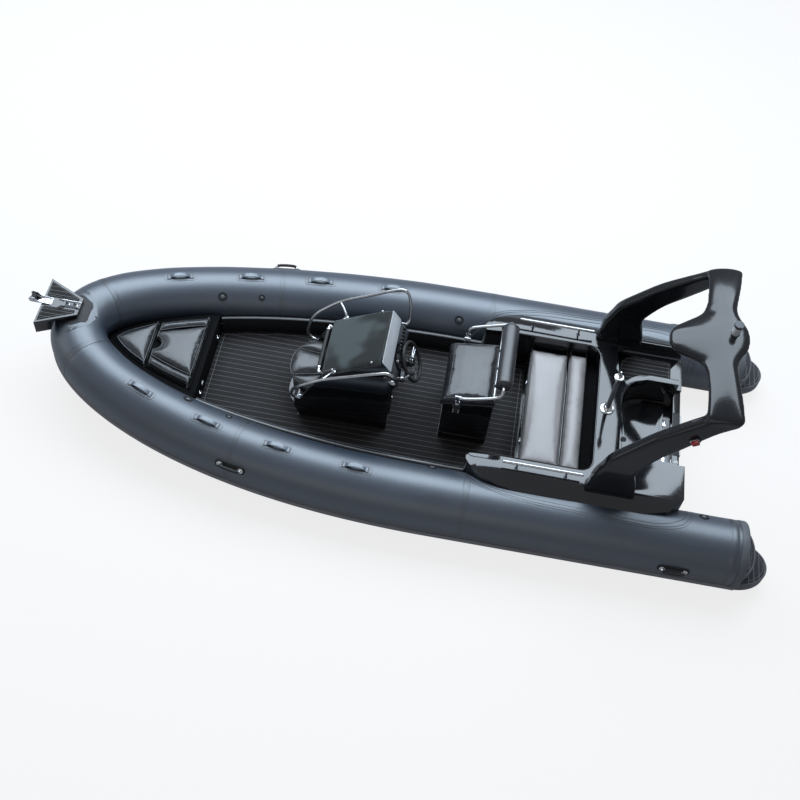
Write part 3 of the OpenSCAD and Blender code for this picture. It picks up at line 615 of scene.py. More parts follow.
# ---- carry handles, grab handles and valves ----
handles = Shape()
patches = Shape()
patch = rounded_outline(-0.135, 0.135, -0.043, 0.043, 0.03, 5)
rise = ((1.0, -0.002), (0.985, 0.0014), (0.80, 0.0018), (0.4, 0.0018))
patch_rings = [[(x * s, y * s, -((y * s) ** 2) * 2.0 + h) for x, y in patch] for s, h in rise]
half_strap = [(0.098, 0.003), (0.084, 0.006), (0.070, 0.015), (0.045, 0.027)]
strap = [(-x, 0, z) for x, z in half_strap] + [(0, 0, 0.034)] + [(x, 0, z) for x, z in half_strap[::-1]]
strap = smooth_path(strap, 5)
band = [(0.0028, -0.017), (0.0034, -0.008), (0.0034, 0.008), (0.0028, 0.017), (-0.002, 0.017),
        (-0.002, -0.017)]
for x in (0.010, 0.655, 1.255, 1.845):
    for side, _ in SIDES:
        at = seat_on_skin(turn_at(x, side), 90, 0.0012)
        patches.skin(patch_rings, 0, at)
        handles.sweep(strap, band, 0, at)
        for end in (-1, 1):
            handles.block((0.034, 0.052, 0.006), (end * 0.094, 0, 0.003), 0.0025, 1, at)
patches.piece("handle_patches", "boat", TAPE, slot="tube_fabric")
handles.piece("carry_handle_straps", "boat", WEBBING, HOOP_RUBBER, stands_for=("carry_handles",),
              slot="handle")

grips = Shape()
for turn, angle in ((turn_at(0.955), 27), (turn_at(-2.56), 9), (turn_at(0.955, -1), 27),
                    (turn_at(-2.56, -1), 9)):
    at = seat_on_skin(turn, angle, 0.0005)
    grips.slab(rounded_outline(-0.128, 0.128, -0.036, 0.036, 0.034, 6), -0.005, 0.006, 0.004, 0, at)
    grips.slab(rounded_outline(-0.100, 0.100, -0.020, 0.020, 0.019, 6), 0.006, 0.0075, 0.001, 2, at)
    half_bar = [(0.088, 0.006), (0.086, 0.022), (0.066, 0.036)]
    bar = [(-x, 0, z) for x, z in half_bar] + [(0, 0, 0.040)] + [(x, 0, z) for x, z in half_bar[::-1]]
    bar = smooth_path(bar, 5)
    grips.rod(bar[7:-7], 0.0125, 0, at)
    for end in (-1, 1):
        grips.rod([(end * x, y, z) for x, y, z in bar[:8]], 0.0115, 1, at)
        foot = at @ Matrix.Translation((end * 0.088, 0, 0))
        grips.turned([(0.023, 0.004), (0.023, 0.010), (0.019, 0.013), (0.012, 0.014)], 1, foot, 24)
grips.piece("grab_handle_grips", "boat", BLACK_RUBBER, CHROME, BLACK_PLASTIC, stands_for=("grab_handles",),
            slot="black_rubber")

valves = Shape()
collar_ring = [(0.040, -0.006), (0.040, 0.001), (0.037, 0.005), (0.030, 0.0065), (0.025, 0.0055),
               (0.023, 0.002), (0.0225, -0.002)]
cup = [(0.0225, -0.001), (0.0180, -0.001), (0.0175, 0.004), (0.015, 0.006), (0.004, 0.0065)]
# six large valves, then two small ones
spots = [(turn_at(1.50, -1), 133), (turn_at(-0.60, -1), 133), (turn_at(1.50), 126), (turn_at(-0.58), 135),
         (turn_at(-2.75), 126), (turn_at(-2.75, -1), 126), (turn_at(1.16, -1), 132), (turn_at(1.13), 124)]
for k, (turn, angle) in enumerate(spots):
    at = seat_on_skin(turn, angle, 0.0005)
    if k > 5:
        at = at @ Matrix.Scale(0.72, 4)
    valves.turned(collar_ring, 0, at, 28)
    valves.turned(cup, 1, at, 20)
    valves.ring_of(range(0, 360, 60), 0.031, [(0.0022, 0.004), (0.0022, 0.0072), (0.0012, 0.0076)], 1, at, 8)
valves.piece("valve_rings", "boat", BLACK_RUBBER, GREY_PLASTIC, stands_for=("valves",), slot="black_rubber")


# ---- stern cones with their moulded steps ----
def stern_step(side, end):
    shape = Shape()
    at = Matrix.Translation((AFT_X, side * HALF, TUBE_Z)) @ Matrix.Rotation(math.radians(-90), 4, "Y")
    if side < 0:
        at = at @ Matrix.Diagonal((1, -1, 1, 1))
    # rim hoop round the tube's end, then the dished end face
    shape.turned([(0.262, -0.022), (0.2685, -0.020), (0.2690, -0.004), (0.2690, 0.028), (0.2640, 0.039),
                  (0.2560, 0.0405),
                  (0.2500, 0.036), (0.2470, 0.026)], 0, at, 72)
    shape.turned([(0.2475, 0.026), (0.20, 0.023), (0.10, 0.021), (0.02, 0.0205)], 1, at, 72)
    centre = Matrix.Translation((AFT_X - 0.024, side * HALF, 0))

    def shelf(reach, half, z0, z1, shift):
        """A half-round step with its pad, the pad's border and a light line."""
        angles = np.radians(np.arange(90, 271, 6))
        oval = to_side([(reach * math.cos(a), half * math.sin(a) + shift) for a in angles], side)
        shape.slab(oval, z0, z1, 0.010, 2, centre, 0.016, 5)
        shape.slab(inset(oval, 0.014), z1 - 0.001, z1 + 0.003, 0.0016, 3, centre)
        shape.slab(inset(oval, 0.008), z1 - 0.002, z1 + 0.0012, 0.0008, 4, centre)
        shape.level_line(inset(oval, 0.034), z1 + 0.0034, 0.004, 0.0005, 4, centre)

    shelf(0.122, 0.224, 0.232, 0.328, 0.0)
    shelf(0.262, 0.202, 0.072, 0.168, 0.020)
    shape.piece("stern_step_" + end + "_skin", "boat", HOOP_RUBBER, BLACK_GEL, HOOP_RUBBER, STEP_FOAM, INLAY,
                stands_for=("stern_step_" + end,), slot="step")


both_sides(stern_step)

# ---- hull: V bottom with a fine keel, spray strakes and sharp chines ----
SOLE_Z = 0.160
STEM_X, KEEL_DEPTH = BOW_X - 0.080, 0.270
LOCKER_TIP = BOW_X - BOW_R + 0.002


def keel_z(x):
    return -KEEL_DEPTH + (KEEL_DEPTH + 0.145) * max(0, (x - 0.5) / (STEM_X - 0.5)) ** 2.8


def hull_edge(x):
    """From the chine up to the deck's edge, under the collar."""
    if x >= 2.10:
        top = SOLE_Z if x < LOCKER_TIP else 0.186
        y = 0.425 * math.sqrt(max(0.01, 1 - ((x - 2.040) / 0.415) ** 2))
        return [(x, y * (1 - 0.02 * k), top - 0.006 * k) for k in (3, 2, 1, 0)]
    turn = max(0, turn_at(x))
    c, out, _, r = collar_frame(turn)
    r += 0.002 + 0.007 * max(0, x / BOW_X) ** 3
    a0 = math.degrees(math.asin(min(1, (c[2] - SOLE_Z) / r)))
    a1 = max(60, a0 + 6)
    rows = [a0 + (a1 - a0) * k / 3 for k in (3, 2, 1, 0)]
    reach = r / max(0.2, out[1])
    return [(x, c[1] - reach * math.cos(a), c[2] - r * math.sin(a)) for a in np.radians(rows)]


def hull_ring(x):
    """One section of the hull: keel, bottom, chine, edge and deck, both sides."""
    edge, k = hull_edge(x), keel_z(x)
    chine = edge[0]
    flat = 0.022 if x < 2.2 else 0.006
    bottom, corner = k + (chine[2] - k) * 0.62, k + (chine[2] - k) * 0.66 - flat * 0.3
    half = [(x, 0.014, k), (x, chine[1] * 0.90, bottom), (x, chine[1], corner)] + edge
    crown = (x, 0, SOLE_Z - 0.002 if x < LOCKER_TIP else collar_z(BOW_X) - BOW_R - 0.004)
    return half + [crown] + [(a, -b, c) for a, b, c in half[::-1]]


hull = Shape()
stations = np.concatenate([np.linspace(-2.556, 2.08, 60), np.linspace(2.10, 2.29, 7),
                           np.linspace(2.298, STEM_X - 0.002, 8)])
hull.skin([hull_ring(x) for x in stations])
for share in (0.34, 0.66):
    for side, _ in SIDES:
        path, reach = [], np.linspace(-2.54, 1.95, 50)
        for x in reach:
            e, k = hull_edge(x)[0], keel_z(x)
            path.append((x, side * e[1] * 0.90 * share, k + (e[2] - k) * 0.62 * share + 0.002))
        taper = [min(1, 0.15 + (reach[-1] - x) * 2.2) for x in reach]
        hull.sweep(path, [(-0.016, -0.022), (0.004, -0.026), (0.004, 0.026), (-0.016, 0.018)], 0, None,
                   False, taper)
hull.piece("hull_skin", "boat", DARK_GEL, stands_for=("hull",), sharp=14, slot="hull")

# ---- inner moulding: sole and smooth side walls with a rolled rim ----
def inner_line(gap, x0, x1, side=1, count=60):
    """Plan line at a distance inside the collar, from x0 forward to x1."""
    out = []
    for turn in np.linspace(turn_at(-2.6), 86, 400):
        c, n, _, r = collar_frame(turn)
        p = c - (r + gap) * n
        if x0 <= p[0] <= x1 and p[1] > 0.01:
            out.append((p[0], side * p[1]))
    pick = np.linspace(0, len(out) - 1, min(count, len(out))).astype(int)
    return [out[k] for k in pick]


liner_low, liner_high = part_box("deck_liner")
liner = Shape()
plan = inner_line(0.002, liner_low.x + 0.02, liner_high.x, 1, 50)
plan = [(liner_low.x, plan[0][1])] + plan
liner.slab([(x, -y) for x, y in plan] + plan[::-1], liner_low.z, DECK_Z - 0.0085, 0.001)
for side, _ in SIDES:
    path = [(x, y, liner_low.z) for x, y in inner_line(0.024, liner_low.x + 0.012, liner_high.x - 0.004,
                                                       side, 60)]
    top = liner_high.z - liner_low.z
    wall = [(0.001, -0.021), (0.001, 0.021), (top - 0.016, 0.021), (top - 0.004, 0.016), (top, 0.004),
            (top, -0.010),
            (top - 0.006, -0.019), (top - 0.020, -0.021)]
    liner.sweep(path, wall)
    rim = [(x, y, liner_high.z + 0.0005) for x,
           y in inner_line(0.041, liner_low.x + 0.03, liner_high.x - 0.01, side, 60)]
    liner.rod(rim, 0.0022, 1, sides=8)
liner.piece("deck_liner_skin", "boat", LINER_GEL, GREY_PLASTIC, stands_for=("deck_liner",), slot="liner")

# deck mat and its light border lines
moulding("deck_mat", 0.0018, DECK_FOAM, segments=2, slot="mat")
mat_low, mat_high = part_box("deck_mat")
inlay = Shape()
BORDER, AISLE_HALF = 0.030, 0.565
fore_x, aft_x = mat_high.x - BORDER, mat_low.x + BORDER
fore_half = inner_line(0.081, fore_x - 0.02, fore_x + 0.02)[0][1]
lines = [[(fore_x, -fore_half), (fore_x, fore_half)], [(aft_x, -AISLE_HALF), (aft_x, AISLE_HALF)]]
for side, _ in SIDES:
    lines.append(inner_line(0.081, -0.97, fore_x, side, 60))
    lines.append([(aft_x, side * AISLE_HALF), (-1.0, side * AISLE_HALF)])
for line in lines:
    inlay.level_line(line, mat_high.z + 0.0002, 0.0055, 0.0006)
inlay.piece("deck_inlays", "boat", INLAY, slot="mat")


# ---- bow: step plate with its tread, roller bracket, roller and cleat ----
moulding("bow_step", 0.008, BLACK_GEL)
step_low, step_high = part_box("bow_step")
tread = Shape()
aft, tip, step_top = step_low.x + 0.020, step_high.x - 0.016, step_high.z


def tread_half(x):
    """Half the tread's width: the plate spreads forward."""
    return 0.068 + (x - 2.480) * 0.150 / 0.315


for side, _ in SIDES:
    notch = [(aft + 0.100, 0.050), (aft + 0.135, 0.020), (aft + 0.165, 0.050)]
    outer = [(tip - 0.020, 0.050), (tip, 0.062), (tip, tread_half(tip)), (aft + 0.010, tread_half(aft))]
    pad = to_side(notch + outer + [(aft + 0.010, 0.050)], side)
    tread.slab(pad, step_top - 0.001, step_top + 0.004, 0.0015)
    line = inset(pad, 0.011)
    tread.level_line(line + line[:1], step_top + 0.0042, 0.0045, 0.0005, 1)
tread.piece("bow_tread", "boat", PAD_FOAM, INLAY, slot="black_moulding")


def laid_patch(shape, marks, lift, kind=0):
    """A thin patch on the bow tube: marks are metres across from the middle and angles round the tube."""
    centre = np.mean(marks, 0)
    rings = []
    for share, height in ((1.0, -0.001), (0.985, lift), (0.8, lift), (0.55, lift), (0.3, lift), (0.08, lift)):
        spots = smooth_path([(*(centre + (np.array(m) - centre) * share), 0) for m in marks], 4, True)
        rings.append([on_skin(90 - math.degrees(s / HALF), angle, height)[0] for s, angle, _ in spots])
    shape.skin(rings, kind)


patch = Shape()
wide = [(0.165, 62), (0.160, 108), (0.152, 117), (0.020, 141)]
narrow = [(0.122, 76), (0.120, 104), (0.112, 112), (0.012, 133)]
for half, foot, lift, kind in ((wide, 56, 0.0016, 0), (narrow, 72, 0.0045, 1)):
    laid_patch(patch, half + [(-s, angle) for s, angle in half[::-1]] + [(0, foot)], lift, kind)
patch.piece("bow_wear_patch", "boat", TAPE, BLACK_RUBBER, slot="tube_fabric")

# roller bracket: two cheeks on a base plate, held by four bolts; the roller turns between them
bracket = Shape()
base_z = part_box("bow_roller_bracket")[0].z
AXLE_X, AXLE_Z = 2.862, base_z + 0.036
CHEEK_IN, CHEEK_OUT = 0.0315, 0.0355
cheek = [(2.716, 0.004), (2.880, 0.004), (2.892, 0.012), (2.898, 0.036), (2.890, 0.052), (2.868, 0.060),
         (2.845, 0.056), (2.828, 0.034), (2.800, 0.018), (2.722, 0.010)]
for side, _ in SIDES:
    bracket.slab(cheek, CHEEK_IN, CHEEK_OUT, 0.0012, 0, upright(side, base_z))
    nut = at_point(AXLE_X, side * CHEEK_OUT, AXLE_Z, (-90 * side, 0, 0))
    bracket.turned([(0.013, 0), (0.013, 0.006), (0.009, 0.010), (0.003, 0.0105)], 0, nut, 20)
bracket.block((0.184, 0.062, 0.005), (2.805, 0, base_z + 0.0025), 0.002)
for x in (2.732, 2.776):
    for y in (-0.018, 0.018):
        bolt = at_point(x, y, base_z + 0.005)
        bracket.turned([(0.008, 0), (0.008, 0.002), (0.004, 0.0045), (0.001, 0.005)], 0, bolt, 16)
bracket.piece("bow_roller_cheeks", "boat", STEEL, stands_for=("bow_roller_bracket",), slot="stainless")
roller = Shape()
axle = at_point(AXLE_X, 0, AXLE_Z, (90, 0, 0))
half_roller = [(0.005, 0.029), (0.024, 0.029), (0.026, 0.024), (0.021, 0.012)]
groove = [(r, -z) for r, z in half_roller] + [(0.0185, 0)] + half_roller[::-1]
roller.turned(groove, 0, axle, 36)
for x, y in arc(0, 0, 0.020, np.radians(range(0, 360, 30))):
    roller.block((0.003, 0.0025, 0.034), (x, y, 0), 0.001, 0, axle)
roller.turned([(0.0062, -0.041), (0.0062, 0.041)], 1, axle, 16)
roller.piece("bow_roller_wheel", "anchor_roller", BLACK_RUBBER, STEEL, stands_for=("bow_roller",),
             slot="black_rubber")


# cleat: a tapered bar on two flared posts, on a grey base
cleat = Shape()
CLEAT_X = 2.556
cleat_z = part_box("bow_cleat")[0].z
horns = [(-0.095, 0, 0.044), (-0.06, 0, 0.050), (0, 0, 0.047), (0.06, 0, 0.050), (0.095, 0, 0.044)]
horns = smooth_path(horns, 5)
taper = [0.72 + 0.28 * math.sin(math.pi * k / (len(horns) - 1)) for k in range(len(horns))]
cleat.sweep(horns, circle(0.0105, 14, 0.8), 0, at_point(CLEAT_X, 0, cleat_z + 0.001), False, taper)
for x in (CLEAT_X - 0.032, CLEAT_X + 0.032):
    post = at_point(x, 0, cleat_z + 0.001)
    cleat.turned([(0.019, 0), (0.018, 0.003), (0.011, 0.010), (0.008, 0.025), (0.009, 0.046)], 0, post, 20)
    cleat.turned([(0.020, -0.001), (0.020, 0.003), (0.016, 0.005)], 0, post, 20)
base = rounded_outline(CLEAT_X - 0.050, CLEAT_X + 0.050, -0.034, 0.034, 0.014)
cleat.slab(base, cleat_z, cleat_z + 0.0045, 0.002, 1)
cleat.piece("bow_cleat_horns", "boat", STEEL, GREY_PLASTIC, stands_for=("bow_cleat",), slot="stainless")

# ---- bow locker: rounded moulding, its latches, white lamp and sill ----
moulding("bow_locker", 0.012, MATTE_BLACK)
moulding("bow_lid", 0.004, MATTE_BLACK, "bow_hatch")
locker_low, locker_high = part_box("bow_locker")
fitted = Shape()
for y in (-0.30, 0.30):
    latch = at_point(locker_low.x + 0.0005, y, locker_low.z + 0.075, (0, -90, 0))
    fitted.block((0.052, 0.030, 0.004), (0, 0, 0.002), 0.004, 0, latch)
    fitted.block((0.026, 0.020, 0.012), (-0.008, 0, 0.008), 0.004, 0, latch)
    bail = [(-0.004, -0.011, 0.012), (0.030, -0.010, 0.020), (0.034, 0, 0.022)]
    fitted.rod(bail + [(x, -y, z) for x, y, z in bail[1::-1]], 0.0026, 0, latch, 10)
lamp = at_point(locker_low.x + 0.0005, 0.215, locker_low.z + 0.105, (0, -90, 0))
fitted.block((0.026, 0.040, 0.010), (0, 0, 0.004), 0.006, 1, lamp)
fitted.piece("bow_locker_fittings", "boat", CHROME, WHITE_PLASTIC, slot="stainless")
sill = Shape()
aft, fore = locker_low.x + 0.004, locker_low.x + 0.058
half = inner_line(0.060, aft - 0.02, aft + 0.02)[0][1]
plan = [(aft, -half), (fore, -half + 0.006), (fore, half - 0.006), (aft, half)]
sill.slab(plan, locker_high.z - 0.001, locker_high.z + 0.0012, 0.0006)
sill.piece("bow_locker_sill", "boat", MATTE_BLACK, slot="black_moulding")

# ---- console ----
moulding("console", 0.016, BLACK_GEL, sharp=28)
moulding("console_lid", 0.003, BLACK_GEL, "console_seat")
# windscreen: a bowed sheet, its side edges folded down to the console's shoulders
foot, head = np.array((0.405, 0.784)), np.array((-0.052, 1.052))
rise = head - foot
square_to = unit(np.array((rise[1], -rise[0])))
rows = []
for v in np.linspace(0, 1, 22):
    row = []
    halfw = 0.292 - 0.016 * v
    for u in np.linspace(-1, 1, 41):
        s = abs(u)
        bow = 0.010 * (1 - s**2.2) + 0.005 * math.sin(math.pi * v)
        fold = -0.030 * max(0, (s - 0.90) / 0.10) ** 1.6
        corner = 0.030 * max(0, (s - 0.86) / 0.14) ** 2
        vv = min(max(v, corner), 1 - corner)
        p = foot + rise * vv + square_to * (bow + fold + 0.001)
        row.append(np.array((p[0], u * halfw, p[1])))
    rows.append(row)
normal = np.array((square_to[0], 0, square_to[1]))
screen = Shape()
screen.skin([[p + normal * 0.0055 for p in row] + row[::-1] for row in rows])
screen.piece("windscreen_sheet", "boat", SCREEN, stands_for=("windscreen",), sharp=60, slot="screen")
trim = Shape()
edge = [row[0] for row in rows] + rows[-1][1:-1:2] + [row[-1] for row in rows[::-1]]
trim.rod([p + normal * 0.003 for p in edge], 0.0045, sides=10)
trim.rod([p + normal * 0.002 for p in rows[0][::2]], 0.007, sides=10)
turn = math.degrees(math.atan2(square_to[0], square_to[1]))
for v in (0.16, 0.84):
    for y in (-0.262, 0.262):
        p = foot + rise * v + square_to * 0.014
        at = at_point(p[0], y, p[1], (0, turn, 0))
        trim.turned([(0.010, -0.006), (0.010, 0.001), (0.007, 0.004), (0.002, 0.0045)], 1, at, 18)
trim.piece("windscreen_trim", "boat", BLACK_RUBBER, STEEL, slot="black_rubber")

# side rails: one bent tube each, a strut to the screen and flanged feet
RAIL = [(0.585, 0.3125, 0.440), (0.625, 0.322, 0.462), (0.649, 0.335, 0.515), (0.630, 0.362, 0.620),
        (0.585, 0.380, 0.695), (0.530, 0.391, 0.752), (0.380, 0.407, 0.881), (0.140, 0.418, 1.010),
        (-0.040, 0.427, 1.105), (-0.115, 0.426, 1.130), (-0.165, 0.416, 1.085), (-0.190, 0.385, 0.985),
        (-0.196, 0.345, 0.885), (-0.182, 0.315, 0.850), (-0.150, 0.302, 0.842)]
STRUT = [(0.392, 0.407, 0.874), (0.354, 0.350, 0.866), (0.318, 0.286, 0.846)]


def console_rail(side, end):
    rail = Shape()
    for path, radius, sides in ((smooth_path(RAIL, 6), 0.0125, 20), (STRUT, 0.009, 14)):
        rail.rod([(x, side * y, z) for x, y, z in path], radius, sides=sides)
    foot = at_point(0.318, side * 0.284, 0.838, (0, 30, 0))
    rail.turned([(0.020, 0), (0.019, 0.004), (0.012, 0.008)], 0, foot, 20)
    for x, _, z in (RAIL[0], RAIL[-1]):
        flange = at_point(x, side * 0.2985, z, (-90 * side, 0, 0))
        rail.turned([(0.030, -0.001), (0.030, 0.003), (0.026, 0.006), (0.016, 0.010)], 0, flange, 28)
        rail.ring_of((90, 210, 330), 0.0235, [(0.004, 0.003), (0.004, 0.0065), (0.001, 0.0075)], 1, flange)
    rail.piece("console_rail_" + end + "_tube", "boat", STEEL, CHROME, stands_for=("console_rail_" + end,),
               slot="stainless")


both_sides(console_rail)

# grab bar under the screen with its soft grip
bar = Shape()
bend = [(0.412, 0.232, 0.735), (0.436, 0.236, 0.741), (0.449, 0.222, 0.745)]
tube = [(x, -y, z) for x, y, z in bend] + [(0.452, 0, 0.746)] + bend[::-1]
bar.rod(smooth_path(tube, 6), 0.0125, sides=18)
bar.rod([(0.450, y, 0.7455) for y in np.linspace(-0.195, 0.195, 13)], 0.0185, 1, sides=20)
for y in (-0.198, 0.198):
    bar.turned([(0.0195, -0.006), (0.0200, 0), (0.0195, 0.006)], 0, at_point(0.450, y, 0.7455, (90, 0, 0)),
               20)
for y in (-0.232, 0.232):
    bar.turned([(0.026, 0), (0.026, 0.004), (0.014, 0.008)], 0, at_point(0.409, y, 0.735, (0, 90, 0)), 24)
bar.piece("grab_bar_grip", "boat", STEEL, BLACK_RUBBER, stands_for=("grab_bar",), slot="stainless")

# dash: a plain pale panel behind the screen, its pale colour a painted reflection of the sky; switches and
# the key lower down, facing the helm
dash = Shape()
upper, lower = np.array((-0.0555, 1.0500)), np.array((-0.1335, 0.9350))
slope = math.degrees(math.atan2(upper[0] - lower[0], upper[1] - lower[1]))
mid = (upper + lower) / 2
face = at_point(mid[0], 0, mid[1], (0, -90 + slope, 0))
# the pale panel (finish 1) is the painted sky reflection
dash.slab(rounded_outline(-0.066, 0.066, -0.270, 0.270, 0.012), -0.002, 0.005, 0.003, 1, face)
low_face = at_point(-0.171, 0, 0.880, (0, -90 + 33.5, 0))
for k in range(6):
    y = -0.235 + 0.036 * k
    dash.block((0.034, 0.022, 0.007), (0, y, 0.001), 0.003, 0, low_face)
    dash.block((0.020, 0.014, 0.007), (0, y, 0.005), 0.003, 3,
               low_face @ Matrix.Rotation(math.radians(6), 4, "Y"))
key = low_face @ Matrix.Translation((0, 0.105, 0.0))
dash.turned([(0.016, -0.002), (0.016, 0.004), (0.012, 0.006), (0.011, 0.012), (0.004, 0.013)], 2, key, 24)
dash.block((0.022, 0.004, 0.022), (0, 0, 0.020), 0.002, 3, key)
dash.piece("dash_panel", "boat", BLACK_PLASTIC, DASH_PAINTED_REFLECTION, CHROME, BLACK_RUBBER, slot="black_plastic")



def raised_door(shape, outline, kind, at):
    """A door or hatch lid: a frame with a raised panel inside it."""
    shape.slab(outline, -0.002, 0.006, 0.003, 0, at)
    shape.slab(inset(outline, 0.022), 0.0055, 0.009, 0.002, kind, at)


# hinged door low on the console's aft face
hinged = Shape()
door = at_point(-0.1455, 0, 0.420, (0, -90, 0))
raised_door(hinged, rounded_outline(-0.190, 0.190, -0.200, 0.200, 0.035), 1, door)
hinged.block((0.060, 0.020, 0.010), (0.0, 0.150, 0.012), 0.004, 2, door)
for x in (-0.12, 0.12):
    hinged.rod([(x - 0.022, -0.181, 0.010), (x + 0.022, -0.181, 0.010)], 0.005, 2, door, 12)
hinged.piece("console_hatches", "boat", BLACK_GEL, LINER_GEL, CHROME, slot="black_moulding")

# steering wheel: rim, three dished spokes and a capped hub; throttle box with its lever
wheel = Shape()
hub = Matrix.Translation((-0.275, 0, 0.770)) @ Matrix.Rotation(math.radians(-62), 4, "Y")
wheel.rod([(x, y, 0) for x, y in circle(0.159, 72)], 0.0145, 0, hub, 16, True)
for a in range(30, 390, 120):
    spin = hub @ Matrix.Rotation(math.radians(a), 4, "Z")
    for y in (-0.010, 0.010):
        spoke = [(0.030, y, 0.002), (0.060, y * 1.1, -0.004), (0.110, y * 1.3, -0.003), (0.152, y * 1.6, 0)]
        wheel.rod(smooth_path(spoke, 4), 0.0048, 1, spin, 10)
    wheel.block((0.060, 0.026, 0.004), (0.062, 0, -0.004), 0.0018, 1, spin)
wheel.turned([(0.040, -0.021), (0.042, -0.010), (0.040, 0.004), (0.032, 0.012), (0.012, 0.0145)], 2, hub, 36)
wheel.turned([(0.024, 0.011), (0.022, 0.0155), (0.006, 0.0165)], 1, hub, 30)
wheel.piece("steering_wheel_rim", "wheel", BLACK_RUBBER, STEEL, BLACK_PLASTIC,
            stands_for=("steering_wheel",), slot="black_plastic")
column = Shape()
column.turned([(0.052, -0.083), (0.050, -0.066), (0.038, -0.058), (0.034, -0.030), (0.030, -0.0225)], 0,
              hub, 36)
column.piece("steering_column_boot", "boat", BLACK_RUBBER, stands_for=("steering_column",),
             slot="black_plastic")
lever = Shape()
lever.block((0.036, 0.062, 0.084), (-0.222, 0.195, 0.810), 0.009)
pivot = at_point(-0.224, 0.2255, 0.822, (-90, 0, 0))
lever.turned([(0.026, -0.002), (0.026, 0.006), (0.020, 0.010), (0.006, 0.012)], 1, pivot, 24)
stalk = smooth_path([(-0.226, 0.234, 0.824), (-0.240, 0.236, 0.850), (-0.268, 0.232, 0.880),
                     (-0.290, 0.222, 0.898)], 5)
lever.sweep(stalk, circle(0.0085, 12, 0.6), 1)
knob = at_point(-0.292, 0.220, 0.900, (0, -48, 0))
lever.turned([(0.006, -0.014), (0.015, -0.012), (0.018, 0.010), (0.016, 0.026), (0.006, 0.032)], 2, knob, 22)
lever.piece("throttle_lever", "boat", BLACK_PLASTIC, STEEL, BLACK_RUBBER, stands_for=("throttle",),
            slot="black_plastic")

# ---- helm seat: pedestal, its hatch, flip frame and brackets ----
moulding("helm_pedestal", 0.010, BLACK_GEL, sharp=28)
moulding("helm_seat_pan", 0.005, BLACK_GEL, sharp=28)
moulding("backrest_pivots", 0.003, STEEL, sharp=40, slot="stainless")
seat = Shape()
wall = at_point(-0.9805, 0, 0.400, (0, -90, 0))
raised_door(seat, rounded_outline(-0.150, 0.150, -0.180, 0.180, 0.03), 0, wall)
seat.block((0.026, 0.060, 0.010), (0.105, 0, 0.011), 0.004, 1, wall)
for side, _ in SIDES:
    seat.block((0.330, 0.006, 0.060), (-0.780, side * 0.273, 0.215), 0.003)
seat.piece("helm_pedestal_fittings", "boat", BLACK_GEL, CHROME, slot="black_moulding")
# the hoop runs from one pivot up and back, through the roll and down to the other; a tie bar joins its arms
flip = Shape()
ROLL_X, ROLL_Z, TIE_X, TIE_Z, PIVOT_X, PIVOT_Y = -1.020, 1.045, -0.967, 0.868, -0.690, 0.345
arm = [(PIVOT_X, PIVOT_Y, 0.786), (-0.691, 0.348, 0.842), (-0.712, 0.360, 0.882), (-0.780, 0.368, 0.908),
       (-0.900, 0.371, 0.952), (-0.975, 0.370, 0.984), (-1.008, 0.364, 1.008), (-1.019, 0.348, 1.036),
       (ROLL_X, 0.318, ROLL_Z)]
arm = smooth_path(arm, 6)
flip.rod(arm + [(x, -y, z) for x, y, z in arm[::-1]], 0.0125, sides=18)
tie = [(-0.950, 0.368, 0.972), (-0.962, 0.350, 0.915), (-0.966, 0.310, 0.874), (TIE_X, 0.270, TIE_Z),
       (TIE_X, 0, TIE_Z)]
tie = smooth_path(tie, 5)
flip.rod(tie + [(x, -y, z) for x, y, z in tie[-2::-1]], 0.0095, sides=14)
for y in (-0.180, 0.0, 0.180):
    flip.turned([(0.0115, -0.012), (0.0120, 0), (0.0115, 0.012)], 1, at_point(TIE_X, y, TIE_Z, (90, 0, 0)),
                18)
for side, _ in SIDES:
    cap = at_point(PIVOT_X, side * PIVOT_Y, 0.786, (-90 * side, 0, 0))
    flip.turned([(0.018, -0.014), (0.018, 0.012), (0.013, 0.016), (0.004, 0.0165)], 0, cap, 22)
    flip.block((0.040, 0.010, 0.052), (PIVOT_X - 0.002, side * PIVOT_Y, 0.792), 0.004)
flip.piece("backrest_hoop", "backrest", STEEL, BLACK_RUBBER, stands_for=("backrest_frame",), slot="stainless")
pads = Shape()
for side, _ in SIDES:
    pads.block((0.062, 0.005, 0.070), (PIVOT_X, side * 0.2725, 0.620), 0.002)
    for x in (PIVOT_X - 0.022, PIVOT_X + 0.022):
        for z in (0.606, 0.634):
            screw = at_point(x, side * 0.3045, z, (-90 * side, 0, 0))
            pads.turned([(0.0055, -0.001), (0.0055, 0.002), (0.0015, 0.004)], 1, screw, 12)
pads.piece("backrest_plates", "boat", STEEL, CHROME, slot="stainless")


# ---- stern moulding: rounded coaming, swept corners, well hatch, tread pad and transom fittings ----
SHOULDER_Y, NOSE_X = 0.775, -1.130


def coaming_fall(x, y):
    """How far the coaming's top lies below its flat part: outboard of the shoulder and towards the nose."""
    out = 0.066 * (max(0.0, abs(y) - SHOULDER_Y) / 0.120) ** 1.12 if x < -0.7 else 0.0
    return out + 0.036 * (max(0.0, x - NOSE_X) / 0.330) ** 1.4


shell = moulding("stern_module", 0.014, BLACK_GEL, sharp=30).data
bm = bmesh.new()
bm.from_mesh(shell)
